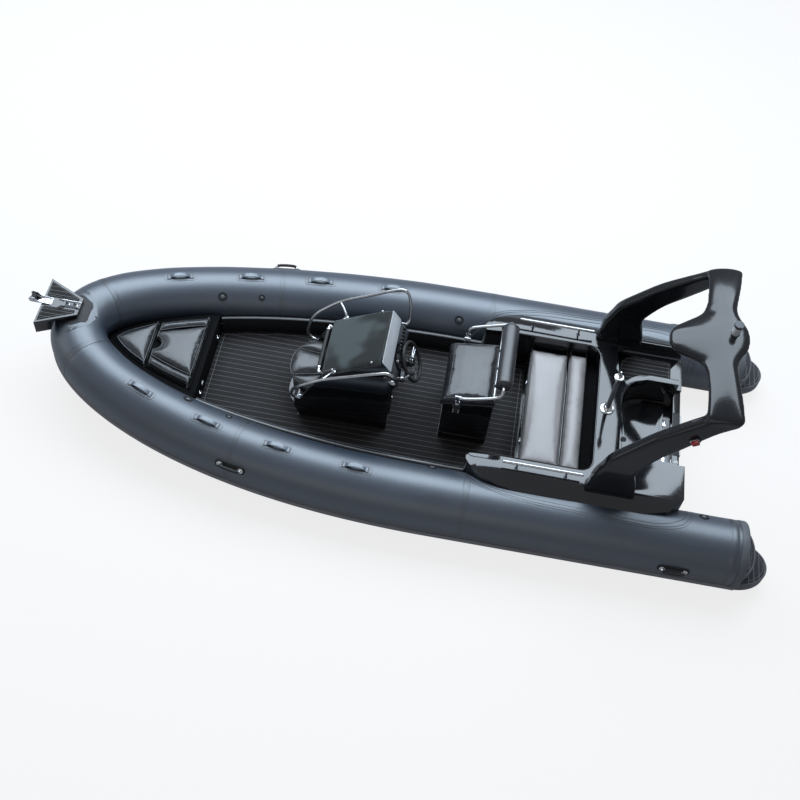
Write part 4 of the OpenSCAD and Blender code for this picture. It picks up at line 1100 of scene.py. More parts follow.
# cuts where the top starts to fall, so that it can bend
outboard = (SHOULDER_Y, 0.800, 0.825, 0.850, 0.872)
cuts = [((0, y, 0), (0, 1, 0)) for y in outboard + tuple(-y for y in outboard)]
cuts += [((x, 0, 0), (1, 0, 0)) for x in (NOSE_X, -1.06, -0.99, -0.92)]
for place, axis in cuts:
    everything = bm.verts[:] + bm.edges[:] + bm.faces[:]
    bmesh.ops.bisect_plane(bm, geom=everything, plane_co=place, plane_no=axis, dist=0.0001)
for v in bm.verts:
    share = min(1.0, max(0.0, (v.co.z - 0.500) / 0.060))
    v.co.z -= coaming_fall(v.co.x, v.co.y) * share
bm.to_mesh(shell)
bm.free()
shell.set_sharp_from_angle(angle=math.radians(35))
COAM_Z, BACK_X, WELL, CORNER_R = 0.590, -1.830, 0.630, 0.105
stern = Shape()
corner_x, corner_y = BACK_X + CORNER_R, WELL - CORNER_R
for side, _ in SIDES:
    # swept corner behind the bench
    corner = arc(corner_x, corner_y, CORNER_R, np.radians(np.arange(180, 89, -10)))
    corner.append((BACK_X - 0.020, WELL + 0.020))
    stern.slab(to_side(corner, side), 0.300, COAM_Z - 0.0005, 0.0005)
# rim round the bench's opening, from one nose aft round both corners to the other
run_in = [(x, WELL - 0.002, COAM_Z - 0.001 - coaming_fall(x, 0)) for x in (-0.90, -0.96, -1.02, -1.08, -1.14)]
bend = [(x, y, COAM_Z - 0.001) for x, y in arc(corner_x, corner_y, CORNER_R, np.radians(range(90, 181, 9)))]
rim = run_in + bend
stern.rod(rim + [(x, -y, z) for x, y, z in rim[::-1]], 0.0055, sides=10)
# painted shade: a thin matte black ledge fills the gap behind the narrow cushion, dark as the shadow there
painted_shade_ledge = [(BACK_X + 0.0005, -0.612), (-1.738, -0.612), (-1.738, 0.612), (BACK_X + 0.0005, 0.612)]
stern.slab(painted_shade_ledge, 0.384, 0.394, 0.002, 6)
# well hatch: square to port, swept to starboard, with its hinges and latch
hatch = [(-2.088, 0.372), (-2.120, 0.385), (-2.440, 0.385), (-2.440, -0.330)]
hatch += arc(-2.275, -0.125, 0.205, np.radians(range(-90, 1, 10))) + [(-2.075, 0.345)]
stern.slab(hatch, 0.2995, 0.3110, 0.006)
stern.slab(inset(hatch, 0.030), 0.3105, 0.3165, 0.005)
for y in (-0.16, 0.20):
    stern.block((0.034, 0.060, 0.006), (-2.452, y, 0.304), 0.002, 1)
    stern.rod([(-2.440, y - 0.030, 0.309), (-2.440, y + 0.030, 0.309)], 0.005, 1, sides=12)
latch = at_point(-2.115, 0.08, 0.3165)
stern.turned([(0.024, -0.001), (0.024, 0.003), (0.020, 0.005), (0.014, 0.004), (0.004, 0.004)], 4, latch, 26)
stern.block((0.030, 0.008, 0.004), (0, 0, 0.006), 0.002, 4, latch)
# recess pad with its border
recess = [(-2.480, -0.435), (-2.480, -0.730), (-2.150, -0.735), (-2.060, -0.700), (-2.010, -0.640),
          (-2.000, -0.560), (-2.000, -0.420), (-2.060, -0.330), (-2.110, -0.355), (-2.190, -0.405),
          (-2.290, -0.425)]
stern.slab(inset(recess, 0.018), 0.4395, 0.4445, 0.002, 2)
border = inset(recess, 0.034)
stern.level_line(border + border[:1], 0.4447, 0.005, 0.0006, 3)
# transom: the motor's clamp pad and two white sockets
clamp = [(-2.556, -0.215), (-2.503, -0.215), (-2.503, 0.215), (-2.556, 0.215)]
stern.slab(clamp, 0.404, 0.4085, 0.002, 4)
for y in (0.345, 0.300):
    stern.block((0.042, 0.036, 0.034), (-2.527, y, 0.421), 0.008, 5)
finishes = (BLACK_GEL, CHROME, PAD_FOAM, INLAY, BLACK_RUBBER, WHITE_PLASTIC, MATTE_BLACK)
stern.piece("stern_fittings", "boat", *finishes, sharp=30, slot="black_moulding")

# bench lid, with two latches and a blind door on the bench's face
moulding("bench_lid", 0.004, MATTE_BLACK, "bench_seat", slot="black_moulding")
lid = Shape()
for y in (-0.30, 0.30):
    at = at_point(-1.2548, y, 0.340, (0, 90, 0))
    lid.slab(rounded_outline(-0.030, 0.030, -0.017, 0.017, 0.006), -0.001, 0.004, 0.002, 0, at)
    lid.turned([(0.010, 0.003), (0.010, 0.007), (0.003, 0.008)], 0, at, 18)
door = at_point(-1.2548, 0, 0.285, (0, 90, 0))
lid.slab(rounded_outline(-0.070, 0.070, -0.180, 0.180, 0.02), -0.001, 0.004, 0.002, 1, door)
lid.slab(rounded_outline(-0.055, 0.055, -0.165, 0.165, 0.015), 0.0035, 0.006, 0.0015, 1, door)
lid.piece("bench_face_fittings", "boat", CHROME, BLACK_GEL, slot="black_moulding")


def coaming_rail(side, end):
    """A straight rail on two slim posts."""
    rail = Shape()
    y = side * 0.724
    path = [(-1.745, 0.664), (-1.738, 0.664), (-1.43, 0.6645), (-1.122, 0.664), (-1.115, 0.664)]
    rail.rod([(x, y, z) for x, z in path], 0.0125, sides=20)
    post = [(0.017, -0.001), (0.017, 0.003), (0.014, 0.005), (0.0095, 0.008), (0.0075, 0.016),
            (0.0075, 0.060), (0.0095, 0.066), (0.0120, 0.074)]
    # painted dark reflection: the posts take grey plastic, darker than the steel rail, for how dark the steel
    # posts look
    for x in (-1.621, -1.231):
        at = at_point(x, y, COAM_Z)
        rail.turned(post, 1, at, 26)
        rail.ring_of((45, 165, 285), 0.0140, [(0.0025, 0.002), (0.0025, 0.0042), (0.001, 0.005)], 0, at, 8)
    rail.piece("coaming_rail_" + end + "_tube", "boat", STEEL, GREY_PLASTIC,
               stands_for=("coaming_rail_" + end,), slot="stainless")


both_sides(coaming_rail)

# ski pole: a screwed flange, a grey tube and a plated head with its pin
pole = Shape()
foot = at_point(-1.912, 0, COAM_Z)
flange = [(0.0590, 0), (0.0592, 0.004), (0.056, 0.009), (0.046, 0.012), (0.040, 0.0125), (0.034, 0.016),
          (0.030, 0.026), (0.0235, 0.032), (0.0205, 0.034)]
head = [(0.0225, 0.395), (0.0235, 0.400), (0.0235, 0.418), (0.0300, 0.424), (0.0385, 0.428), (0.0390, 0.434),
        (0.0385, 0.446), (0.0300, 0.449), (0.0120, 0.450)]
pin = [(0.0085, 0.453), (0.0070, 0.458), (0.0070, 0.504), (0.0050, 0.509)]
pole.turned(flange, 0, foot, 44)
pole.turned([(0.0200, 0.020), (0.0200, 0.405)], 1, foot, 32)
pole.turned(head + pin, 0, foot, 36)
pole.ring_of(range(0, 360, 60), 0.0475, [(0.0045, 0.008), (0.0045, 0.013), (0.0015, 0.014)], 0, foot)
pole.piece("ski_pole_tube", "boat", CHROME, GREY_PLASTIC, stands_for=("ski_pole",), slot="stainless")

moulding("motor_plate", 0.003, WHITE_PLASTIC, slot="white_plate")
moulding("stern_eyes", 0.0025, STEEL, slot="stainless")
moulding("towing_eye", 0.003, STEEL, slot="stainless")
# transom: washers at the motor's bolts, drains, eye bolts and three sockets for sender cables
TRANSOM_X, AFT_FACING = -2.5605, (0, -90, 0)
back = Shape()
for z in (0.110, 0.3132):
    for y in (-0.1635, 0.1635):
        washer = [(0.0135, -0.001), (0.0135, 0.002), (0.0070, 0.0022), (0.0066, -0.004)]
        back.turned(washer, 0, at_point(-2.5722, y, z, AFT_FACING), 22)
for side, _ in SIDES:
    for y, z, r in ((0.33, 0.02, 0.014), (0.42, 0.10, 0.020)):
        drain = [(r * 1.5, -0.002), (r * 1.5, 0.003), (r, 0.005), (r * 0.8, 0.002), (r * 0.2, 0.002)]
        back.turned(drain, 0, at_point(TRANSOM_X, side * y, z, AFT_FACING), 22)
    for z in (-0.012, 0.052):
        bolt = at_point(TRANSOM_X, side * 0.560, z, AFT_FACING)
        back.turned([(0.012, -0.002), (0.012, 0.004), (0.004, 0.006)], 0, bolt, 18)
for k in range(3):
    back.block((0.010, 0.110, 0.020), (-2.566, 0.0, -0.010 - 0.045 * k), 0.003, 1)
back.piece("transom_fittings", "boat", STEEL, BLACK_PLASTIC, slot="stainless")


# ---- arch: two swept legs and a crowned roof run into one moulding ----
def remeshed(shape, voxel, rounds):
    """The shape's solids run into one skin of even faces, then eased."""
    item = bpy.data.objects.new("base", shape.mesh("base"))
    scene.collection.objects.link(item)
    grid = item.modifiers.new("grid", "REMESH")
    grid.mode, grid.voxel_size = "VOXEL", voxel
    ease = item.modifiers.new("ease", "SMOOTH")
    ease.factor, ease.iterations = 0.5, rounds
    bpy.context.view_layer.update()
    made = bpy.data.meshes.new_from_object(item.evaluated_get(bpy.context.evaluated_depsgraph_get()))
    bpy.data.objects.remove(item)
    return made


LEG_UPPER = [(-1.786, 0.590), (-1.800, 0.790), (-1.840, 0.920), (-1.880, 1.030), (-2.006, 1.193),
             (-2.131, 1.344),
             (-2.260, 1.463), (-2.388, 1.573), (-2.480, 1.648), (-2.600, 1.680), (-2.690, 1.668)]
LEG_LOWER = [(-2.664, 1.605), (-2.556, 1.520), (-2.470, 1.425), (-2.350, 1.284), (-2.226, 1.138),
             (-2.128, 0.960),
             (-2.106, 0.870), (-2.140, 0.740), (-2.158, 0.660), (-2.160, 0.590)]
# the roof's section at some distances from the middle: X and Z from its front edge over the top
ROOF = {
    0.00: [(-2.150, 1.520), (-2.33, 1.605), (-2.55, 1.665), (-2.722, 1.640), (-2.62, 1.56), (-2.40, 1.468)],
    0.06: [(-2.155, 1.522), (-2.33, 1.605), (-2.55, 1.665), (-2.718, 1.640), (-2.62, 1.56), (-2.40, 1.470)],
    0.12: [(-2.190, 1.525), (-2.35, 1.605), (-2.55, 1.665), (-2.702, 1.640), (-2.62, 1.565), (-2.41, 1.482)],
    0.18: [(-2.275, 1.548), (-2.39, 1.612), (-2.55, 1.665), (-2.670, 1.640), (-2.60, 1.570), (-2.43, 1.505)],
    0.25: [(-2.370, 1.572), (-2.44, 1.625), (-2.55, 1.668), (-2.640, 1.642), (-2.59, 1.576), (-2.47, 1.535)],
    0.33: [(-2.405, 1.588), (-2.460, 1.637), (-2.56, 1.672), (-2.635, 1.645), (-2.59, 1.580), (-2.49, 1.552)],
    0.41: [(-2.420, 1.600), (-2.470, 1.645), (-2.57, 1.675), (-2.645, 1.650), (-2.60, 1.582), (-2.50, 1.560)],
    0.60: [(-2.430, 1.612), (-2.470, 1.655), (-2.59, 1.680), (-2.675, 1.658), (-2.62, 1.585), (-2.50, 1.563)],
    0.78: [(-2.430, 1.612), (-2.470, 1.656), (-2.60, 1.682), (-2.694, 1.670), (-2.640, 1.585),
           (-2.50, 1.563)],
}
ROOF_HALF, FOOT_Z = 0.78, 0.554


def arch_sweep(x, y, z):
    """The legs lean in a little as they rise and the roof is crowned."""
    rise = min(1.0, max(0.0, (z - 0.90) / 0.70))
    crown = 0.085 * (1 - (y / ROOF_HALF) ** 2) * min(1.0, max(0.0, (z - 1.40) / 0.14))
    return Vector((x, y * (1 - 0.085 * rise**1.3), z + 0.010 * rise**1.3 + crown))


arch = Shape()
leg = smooth_path(LEG_UPPER, 5) + smooth_path(LEG_LOWER, 5)
flare = [(-1.772, 0.552), (-1.775, 0.604), (-1.790, 0.640), (-2.150, 0.640), (-2.170, 0.604), (-2.172, 0.552)]
for side, _ in SIDES:
    arch.slab(leg, 0.716, 0.809, 0.020, 0, upright(side), 0.020, 4)
    arch.slab(flare, 0.706, 0.812, 0.010, 0, upright(side), 0.010)
spread = sorted(ROOF)
spread = [-y for y in spread[:0:-1]] + spread
rows = np.array([smooth_path([(x, y, z) for x, z in ROOF[abs(y)]], 6, True) for y in spread])
lengthwise = [smooth_path(rows[:, k], 4) for k in range(rows.shape[1])]
arch.skin([list(ring) for ring in zip(*lengthwise)])
shell = remeshed(arch, 0.0105, 12)
for v in shell.vertices:
    v.co = arch_sweep(v.co.x, v.co.y, max(v.co.z, FOOT_Z))
dress(bpy.data.objects.new("arch_moulding", shell), "boat", (ARCH_GEL,), ("arch",), 70, "black_moulding")


def navigation_light(side, end):
    """A screwed base with its lens: red to port, green to starboard."""
    lamp = Shape()
    at = at_point(*arch_sweep(-2.405, side * 0.8095, 1.420), (-90 * side, 0, 0))
    at = at @ Matrix.Rotation(math.radians(40 * side), 4, "Z")
    lamp.slab(rounded_outline(-0.040, 0.040, -0.026, 0.026, 0.010), -0.014, 0.008, 0.003, 0, at)
    lamp.slab(rounded_outline(-0.034, 0.034, -0.021, 0.021, 0.008), 0.007, 0.012, 0.002, 2, at)
    lamp.slab(rounded_outline(-0.033, 0.024, -0.021, 0.021, 0.008), 0.011, 0.038, 0.009, 1, at)
    for x in (-0.0305, 0.0285):
        lamp.turned([(0.0035, 0.011), (0.0035, 0.0136), (0.001, 0.014)], 2,
                    at @ Matrix.Translation((x, 0, 0)), 10)
    lamp.piece("navigation_light_" + end, "boat", BLACK_PLASTIC, RED_LENS if side > 0 else GREEN_LENS, CHROME,
               stands_for=("navigation_lights",), slot="black_plastic")


both_sides(navigation_light)

# masthead light: base, ribbed clear lens, white post and a dark cap
DARK_CAP = plastic("light_cap", (0.075, 0.080, 0.090), 0.38)
mast = Shape()
base = at_point(*arch_sweep(-2.600, -0.015, 1.640))
mast.turned([(0.036, 0), (0.036, 0.022), (0.033, 0.026), (0.028, 0.028)], 1, base, 36)
mast.turned([(0.0275, 0.026), (0.0300, 0.034), (0.0300, 0.098), (0.0275, 0.104), (0.022, 0.105)], 0, base, 36)
mast.turned([(0.0285, 0.100), (0.0290, 0.104), (0.0290, 0.112), (0.0340, 0.1135)], 2, base, 36)
cap = [(0.0360, 0.1110), (0.0370, 0.1130), (0.0370, 0.1290), (0.0350, 0.1335), (0.0280, 0.1350),
       (0.0060, 0.1352)]
mast.turned(cap, 3, base, 36)
for z in np.arange(5) * 0.012 + 0.040:
    mast.turned([(0.0302, z), (0.0308, z + 0.003), (0.0302, z + 0.006)], 2, base, 36)
mast.piece("masthead_light_body", "boat", WHITE_PLASTIC, BLACK_PLASTIC, CLEAR_LENS, DARK_CAP,
           stands_for=("masthead_light",), slot="lamp")


# ---- cushions: remeshed forms that swell under pressure, with piping laid on their skins ----
padding = []


def stuffed(name, body, base, voxel, cap, form=None, held=None, finish=VINYL, stands_for=(), slot="cushion",
            fill=0.8):
    """A padded piece: a slightly small base solid, remeshed, shaped by form, left to swell in run_padding."""
    mesh = remeshed(base, voxel, 3)
    if form is not None:
        for v in mesh.vertices:
            v.co = form(v.co)
    piece = bpy.data.objects.new(name, mesh)
    scene.collection.objects.link(piece)
    padding.append((piece, body, cap, held, finish, stands_for, slot, fill))
    return piece


def run_padding():
    """All cushions swell together; no point moves further than its piece's cap."""
    before = {}
    for piece, _, _, held, *_ in padding:
        before[piece.name] = [v.co.copy() for v in piece.data.vertices]
        group = piece.vertex_groups.new(name="seated")
        group.add([v.index for v in piece.data.vertices if held and held(v.co)], 1.0, "REPLACE")
        cloth = piece.modifiers.new("fill", "CLOTH")
        set_up = cloth.settings
        set_up.quality, set_up.mass, set_up.air_damping = 5, 0.3, 4
        set_up.tension_stiffness = set_up.compression_stiffness = 14
        set_up.shear_stiffness, set_up.bending_stiffness = 6, 0.6
        set_up.use_pressure, set_up.uniform_pressure_force = True, 4
        set_up.shrink_min = -0.015
        set_up.vertex_group_mass = "seated"
        set_up.effector_weights.gravity = 0
        cloth.point_cache.frame_start, cloth.point_cache.frame_end = 1, 16
    for frame_number in range(1, 17):
        scene.frame_set(frame_number)
    graph = bpy.context.evaluated_depsgraph_get()
    for piece, body, cap, held, finish, stands_for, slot, fill in padding:
        rest = before[piece.name]
        grown = [v.co.copy() for v in piece.evaluated_get(graph).data.vertices]
        piece.modifiers.clear()
        piece.vertex_groups.clear()
        for v, a, b in zip(piece.data.vertices, rest, grown):
            move = b - a
            v.co = a + move * min(1, cap / max(move.length, 1e-9))
        ease = piece.modifiers.new("ease", "SMOOTH")
        ease.factor, ease.iterations = 0.5, 5
        fine = piece.modifiers.new("fine", "SUBSURF")
        fine.levels = 1
        bpy.context.view_layer.update()
        made = bpy.data.meshes.new_from_object(piece.evaluated_get(bpy.context.evaluated_depsgraph_get()))
        piece.modifiers.clear()
        piece.data = made
        dress(piece, body, (finish,), stands_for, 80, slot)
    scene.frame_set(1)


def skin_of(*pieces):
    """The skins of finished pieces, ready for rays."""
    points, faces = [], []
    for piece in pieces:
        start = len(points)
        points += [v.co.copy() for v in piece.data.vertices]
        faces += [[start + k for k in p.vertices] for p in piece.data.polygons]
    return BVHTree.FromPolygons(points, faces)


def drape(tree, points, lift=0.0, down=None, reach=0.3):
    """Each point moved along down onto the skin; without down, or past it, to the nearest place."""
    out = []
    for p in points:
        place, normal = tree.ray_cast(Vector(p), Vector(down), reach)[:2] if down else (None, None)
        if place is None:
            place, normal = tree.find_nearest(Vector(p))[:2]
        out.append(tuple(place + normal * lift))
    return out


def crowned(outline, floor, top, rise, reach):
    """A form for a flat pad: its top rises away from the outline, its walls stay."""
    p = np.array(outline, float)
    a, b = p, np.roll(p, -1, 0)
    along = b - a
    length = (along**2).sum(1)

    def form(co):
        q = np.array((co.x, co.y))
        t = np.clip(((q - a) * along).sum(1) / length, 0, 1)
        d = np.sqrt((((a + along * t[:, None]) - q) ** 2).sum(1)).min()
        share = max(0.0, min(1.0, (co.z - floor) / (top - floor)))
        lift = rise * (1 - math.exp(-((d / reach) ** 1.3)))
        return Vector((co.x, co.y, co.z + lift * share**2))

    return form


def panel(outline, z0, z1, edge=0.014):
    """The base solid of a flat pad."""
    base = Shape()
    base.slab(outline, z0, z1, edge, lower=edge * 0.5)
    return base


def pad_over(name, body, plan, heights, edge, voxel, cap, rise, reach, floor, **more):
    """A flat pad over a plan, crowned, whose underside below floor is held."""
    form = crowned(plan, *heights, rise, reach)
    return stuffed(name, body, panel(plan, *heights, edge), voxel, cap, form, lambda co: co.z < floor, **more)


def mirrored(half):
    """A closed outline from its port half, listed from aft to the bow."""
    half = [tuple(p) for p in half]
    return [(x, -y) for x, y in half] + half[::-1]


# bow cushions: a forward triangle, and an aft pad of a centre and two side strips round a hand hole
fore = inner_line(0.076, 1.916, 2.40, 1, 40)
fore_plan = mirrored(fore + [(fore[-1][0] + 0.006, 0.012)])
fore_pad = pad_over("bow_pad_forward", "boat", fore_plan, (0.374, 0.418), 0.016, 0.007, 0.012, 0.022, 0.05,
                    0.380,
                    stands_for=("bow_cushion_forward",))
NOTCH_X, NOTCH_R = 1.905, 0.070
PAD_AFT, PAD_FORE = 1.506, 1.893
aft_line = inner_line(0.094, PAD_AFT, PAD_FORE, 1, 40)
split_line = inner_line(0.172, PAD_AFT, PAD_FORE, 1, 40)
hole = [(NOTCH_X - NOTCH_R * math.cos(a), NOTCH_R * math.sin(a)) for a in np.radians(np.arange(-78, 79, 12))]


def round_hole(line):
    """The outline of a pad between the line and its mirror image, open round the hand hole."""
    middle = [(PAD_FORE, -0.074)] + hole + [(PAD_FORE, 0.074)]
    return [(x, -y) for x, y in line] + middle + [tuple(p) for p in line[::-1]]


centre_plan = round_hole(split_line)
seats = [pad_over("bow_pad_centre", "bow_hatch", centre_plan, (0.388, 0.424), 0.012, 0.006, 0.010, 0.020,
                  0.05, 0.394,
                  stands_for=("bow_cushion_aft",))]
for side, end in SIDES:
    strip = inner_line(0.166, PAD_AFT, PAD_FORE, 1, 30)
    edge = inner_line(0.094, PAD_AFT, PAD_FORE, 1, 30)
    plan = to_side(strip + edge[::-1], side)
    name = "bow_pad_strip_" + end
    seats.append(pad_over(name, "bow_hatch", plan, (0.388, 0.424), 0.012, 0.006, 0.010, 0.018, 0.03, 0.394))

# console seat: three panels that fan out from the console
FAN_R, FAN_X, HUB_X = 0.2560, 0.470, 0.434


def fan_rise(x):
    """How far the fan still rises at a distance ahead: 1 at the console, 0 at the front."""
    return (1 - min(1, max(0, (x - 0.43) / 0.29))) ** 1.2


def fan_panel(name, plan, **more):
    def form(co):
        out = shape_of(co)
        share = max(0, min(1, (co.z - 0.468) / 0.040))
        out.z += 0.030 * fan_rise(co.x) * share * (1 - (abs(co.y) / 0.29) ** 2)
        return out

    shape_of = crowned(plan, 0.467, 0.508, 0.016, 0.035)
    base = panel(plan, 0.467, 0.508, 0.014)
    return stuffed(name, "console_seat", base, 0.006, 0.010, form, lambda co: co.z < 0.473, **more)


# the panels meet at 33 degrees to either side; at the console the middle one is as wide as twice HUB_Y
SPLIT, HUB_Y = math.radians(33), 0.095
fan_back = math.sqrt(FAN_R**2 - (FAN_X - HUB_X) ** 2) - 0.002
front_arc = arc(FAN_X, 0, FAN_R, np.linspace(-SPLIT, SPLIT, 18))
centre_fan = [(HUB_X, -HUB_Y)] + front_arc + [(HUB_X, HUB_Y)]
front_pads = [fan_panel("console_pad_centre", centre_fan, stands_for=("console_cushion",))]
side_arc = arc(FAN_X, 0, FAN_R, np.linspace(SPLIT + 0.025, math.pi / 2 + 0.13, 16))
for side, end in SIDES:
    plan = to_side([(HUB_X, HUB_Y + 0.006)] + side_arc, side)
    front_pads.append(fan_panel("console_pad_" + end, plan))

# helm cushion: a wide pad whose front edge rolls over, crowned to the middle
side_view = [(-0.569, 0.652), (-0.557, 0.688), (-0.568, 0.722), (-0.606, 0.748), (-0.690, 0.775),
             (-0.790, 0.796),
             (-0.900, 0.811), (-0.960, 0.814), (-0.976, 0.795), (-0.978, 0.741), (-0.800, 0.713),
             (-0.584, 0.681),
             (-0.584, 0.652)]
helm = Shape()
helm.slab(side_view[::-1], -0.284, 0.284, 0.018, 0, upright(1), 0.018)


def helm_floor(x):
    """Height of the helm pad's underside, which rises aft."""
    return 0.680 + (-0.580 - x) * 0.15


def helm_form(co):
    """Crowned to the middle and drawn in a little at the top."""
    across = 1 - (abs(co.y) / 0.30) ** 2.4
    share = max(0, min(1, (co.z - helm_floor(co.x)) / 0.09))
    fore = max(0, min(1, (co.x + 0.985) / 0.05))
    return Vector((co.x, co.y * (1 - 0.012 * share), co.z + 0.014 * across * share * fore))


helm_pad = stuffed("helm_pad", "boat", helm, 0.0075, 0.012, helm_form, lambda co: co.z < helm_floor(co.x)
                   + 0.004,
                   stands_for=("helm_cushion",))

# backrest roll: a stuffed tube with end discs
roll = Shape()
roll_end = [(0.020, 0.300), (0.055, 0.299), (0.063, 0.290), (0.0655, 0.270)]
roll_side = [(r, -z) for r, z in roll_end] + [(0.066, 0)] + roll_end[::-1]
roll.turned(roll_side, 0, at_point(ROLL_X, 0, ROLL_Z, (90, 0, 0)), 40)
roll_pad = stuffed("backrest_pad", "backrest", roll, 0.0068, 0.004, stands_for=("backrest_roll",))

# bench: seat and the narrower pad behind it, in pale vinyl whose colour is a painted reflection of the sky
bench_plan = rounded_outline(-1.574, -1.254, -0.582, 0.582, 0.022, 4)
bench_pad = pad_over("bench_pad", "bench_seat", bench_plan, (0.4065, 0.468), 0.018, 0.0105, 0.012, 0.020,
                     0.075, 0.414,
                     finish=BENCH_VINYL_PAINTED_REFLECTION, stands_for=("bench_cushion",))
back_plan = rounded_outline(-1.734, -1.588, -0.582, 0.582, 0.020, 4)
back_pad = pad_over("bench_back_pad", "boat", back_plan, (0.392, 0.482), 0.018, 0.0095, 0.012, 0.018, 0.045,
                    0.400,
                    finish=BENCH_VINYL_PAINTED_REFLECTION, stands_for=("bench_back_cushion",))

run_padding()


# piping and seams, laid on the finished skins
def pipe_round(shape, tree, plan, inward, z, radius=0.0042):
    """Piping pushed onto the side of a pad at a height, a little in from its plan."""
    spots = drape(tree, [(x, y, z) for x, y in inset(plan, inward)], 0.0008)
    shape.rod(smooth_path(spots, 2, True), radius, sides=8, closed=True)


piping, hatch_piping, seat_piping = Shape(), Shape(), Shape()
tree = skin_of(fore_pad)
pipe_round(piping, tree, fore_plan, 0.004, 0.421)
pipe_round(piping, tree, fore_plan, 0.002, 0.380, 0.0035)
tree = skin_of(*seats)
pipe_round(hatch_piping, tree, round_hole(aft_line), 0.003, 0.427)
pipe_round(hatch_piping, tree, round_hole(aft_line), 0.001, 0.394, 0.0035)
for side, _ in SIDES:
    seam = [(x, side * y, 0.427) for x, y in inner_line(0.169, 1.512, 1.888, 1, 24)]
    hatch_piping.rod(seam, 0.0052, 0, sides=10)
whole_arc = arc(FAN_X, 0, FAN_R, np.linspace(-math.pi / 2 - 0.10, math.pi / 2 + 0.10, 46))
rim_plan = [(HUB_X, -fan_back + 0.004)] + whole_arc + [(HUB_X, fan_back - 0.004)]
tree = skin_of(*front_pads)
pipe_round(seat_piping, tree, rim_plan, 0.004, 0.503)
pipe_round(seat_piping, tree, rim_plan, 0.001, 0.473, 0.0035)
near = np.array((HUB_X + 0.004, HUB_Y + 0.003))
far = np.array(arc(FAN_X, 0, FAN_R - 0.008, (SPLIT + 0.012,))[0])
for side, _ in SIDES:
    line = [near + (far - near) * t for t in np.linspace(0, 1, 18)]
    seat_piping.rod([(x, side * y, 0.505 + 0.022 * fan_rise(x)) for x, y in line], 0.0055, sides=10)
piping.piece("bow_piping", "boat", PIPING, slot="cushion")
hatch_piping.piece("bow_hatch_piping", "bow_hatch", PIPING, slot="cushion")
seat_piping.piece("console_seat_piping", "console_seat", PIPING, slot="cushion")

helm_piping = Shape()
tree = skin_of(helm_pad)
for side, _ in SIDES:
    edge = [(x, side * 0.280, z) for x, z, _ in smooth_path([(x, z, 0) for x, z in side_view], 3, True)]
    helm_piping.rod(smooth_path(drape(tree, edge, 0.0006), 2, True), 0.0042, sides=8, closed=True)
for x, z in ((-0.604, 0.800), (-0.955, 0.870)):
    across = [(x, y, z) for y in np.linspace(-0.272, 0.272, 40)]
    helm_piping.rod(drape(tree, across, 0.0004, (0, 0, -1), 0.2), 0.0030, sides=8)
helm_piping.piece("helm_piping", "boat", PIPING, slot="cushion")

roll_piping = Shape()
tree = skin_of(roll_pad)
for y in (-0.287, 0.287):
    ring = [(x, y, z) for x, z in arc(ROLL_X, ROLL_Z, 0.067, np.arange(40) * math.pi / 20)]
    roll_piping.rod(drape(tree, ring, 0.0004), 0.0036, sides=8, closed=True)
roll_piping.piece("backrest_piping", "backrest", PIPING, slot="cushion")

bench_piping, back_piping = Shape(), Shape()
tree = skin_of(bench_pad)
pipe_round(bench_piping, tree, bench_plan, 0.003, 0.470)
pipe_round(bench_piping, tree, bench_plan, 0.001, 0.413, 0.0038)
bench_piping.piece("bench_piping", "bench_seat", PIPING, slot="cushion")
pipe_round(back_piping, skin_of(back_pad), back_plan, 0.003, 0.484)
back_piping.piece("bench_back_piping", "boat", PIPING, slot="cushion")


# ---- stage, light and camera ----
floor_mesh = bpy.data.meshes.new("stage_floor")
floor_mesh.from_pydata([(-40, -40, 0), (40, -40, 0), (40, 40, 0), (-40, 40, 0)], [], [(0, 1, 2, 3)])
floor = bpy.data.objects.new("stage_floor", floor_mesh)
scene.collection.objects.link(floor)


def seen_white(tree):
    """Camera and transmission rays see plain white; glossy rays see a share of it."""
    path = tree.nodes.new("ShaderNodeLightPath")
    either = path.outputs["Is Camera Ray"]
    for name, share in (("Is Glossy Ray", 0.15), ("Is Transmission Ray", 1.0)):
        part, most = tree.nodes.new("ShaderNodeMath"), tree.nodes.new("ShaderNodeMath")
        part.operation, most.operation = "MULTIPLY", "MAXIMUM"
        part.inputs[1].default_value = share
        tree.links.new(path.outputs[name], part.inputs[0])
        tree.links.new(either, most.inputs[0])
        tree.links.new(part.outputs[0], most.inputs[1])
        either = most.outputs[0]
    return either


floor_finish = bpy.data.materials.new("stage_floor")
floor_finish.use_nodes = True
nodes, links = floor_finish.node_tree.nodes, floor_finish.node_tree.links
nodes.clear()
out = nodes.new("ShaderNodeOutputMaterial")
unseen, matte = nodes.new("ShaderNodeBsdfDiffuse"), nodes.new("ShaderNodeBsdfDiffuse")
white = nodes.new("ShaderNodeEmission")
pale, blend = nodes.new("ShaderNodeMixShader"), nodes.new("ShaderNodeMixShader")
unseen.inputs["Color"].default_value = (0.30, 0.31, 0.33, 1)
matte.inputs["Color"].default_value = (0.86, 0.865, 0.87, 1)
white.inputs["Strength"].default_value = 1.0
pale.inputs[0].default_value = 0.80
links.new(matte.outputs[0], pale.inputs[1])
links.new(white.outputs[0], pale.inputs[2])
links.new(seen_white(floor_finish.node_tree), blend.inputs[0])
links.new(unseen.outputs[0], blend.inputs[1])
links.new(pale.outputs[0], blend.inputs[2])
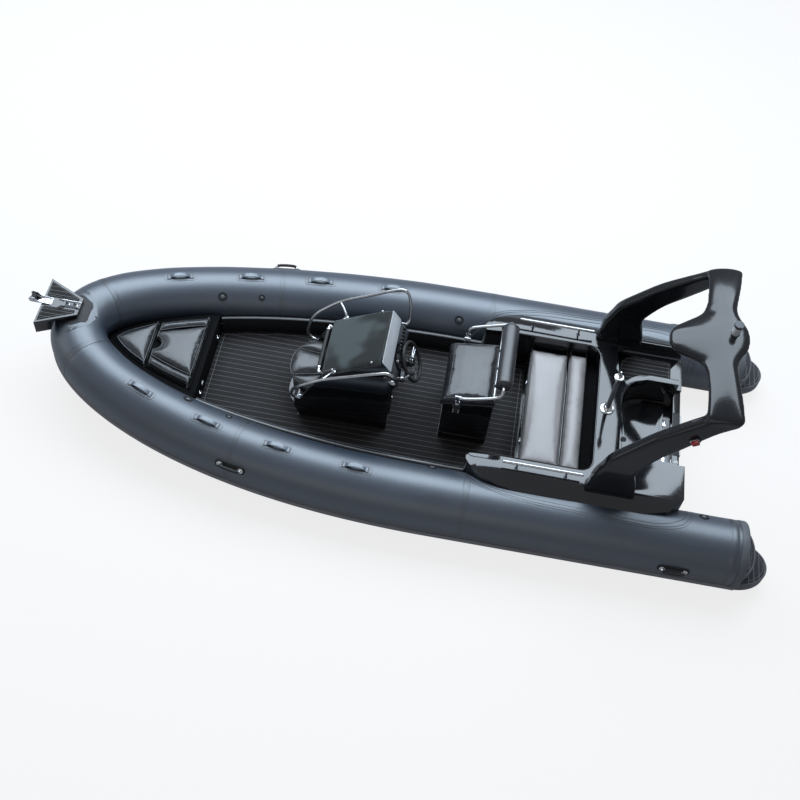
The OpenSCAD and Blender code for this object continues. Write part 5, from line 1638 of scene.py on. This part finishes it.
links.new(blend.outputs[0], out.inputs["Surface"])
floor_mesh.materials.append(floor_finish)

world = bpy.data.worlds.new("stage_world")
scene.world = world
world.use_nodes = True
nodes, links = world.node_tree.nodes, world.node_tree.links
nodes.clear()
out, blend = nodes.new("ShaderNodeOutputWorld"), nodes.new("ShaderNodeMixShader")
plain, white = nodes.new("ShaderNodeBackground"), nodes.new("ShaderNodeBackground")
plain.inputs["Color"].default_value = (0.86, 0.91, 1.0, 1)
plain.inputs["Strength"].default_value = 0.19
white.inputs["Strength"].default_value = 1.0
links.new(seen_white(world.node_tree), blend.inputs[0])
links.new(plain.outputs[0], blend.inputs[1])
links.new(white.outputs[0], blend.inputs[2])
links.new(blend.outputs[0], out.inputs["Surface"])


def softbox(name, place, aim, size, power, tint=(1, 1, 1)):
    """A large area light aimed at a point."""
    lamp = bpy.data.lights.new(name, "AREA")
    lamp.shape, lamp.energy, lamp.color = "RECTANGLE", power, tint
    lamp.size, lamp.size_y = size
    body = bpy.data.objects.new(name, lamp)
    scene.collection.objects.link(body)
    body.location = place
    body.rotation_euler = (Vector(aim) - Vector(place)).to_track_quat("-Z", "Y").to_euler()


softbox("sky_panel", (0.6, -4.4, 7.3), (0.6, 0, 0.2), (14, 6.0), 1240, (0.76, 0.88, 1.0))
softbox("port_panel", (1.0, 7.5, 4.5), (0, 0, 0.4), (9, 3), 36, (1.0, 0.99, 0.97))
softbox("bow_panel", (8.5, 0.5, 3.2), (1, 0, 0.5), (4, 4), 40)

lens = bpy.data.cameras.new("view_camera")
lens.lens, lens.sensor_width, lens.clip_end = 51.75, 36, 200
viewer = bpy.data.objects.new("view_camera", lens)
scene.collection.objects.link(viewer)
# columns: the view's right, its up, straight back from it, and the camera's place
viewer.matrix_world = Matrix((
    (-0.9848, 0.1713, -0.0294, -0.507),
    (-0.1570, -0.8041, 0.5733, 5.606),
    (0.0745, 0.5692, 0.8188, 8.214),
    (0, 0, 0, 1)))
scene.camera = viewer
scene.view_settings.view_transform = "Standard"
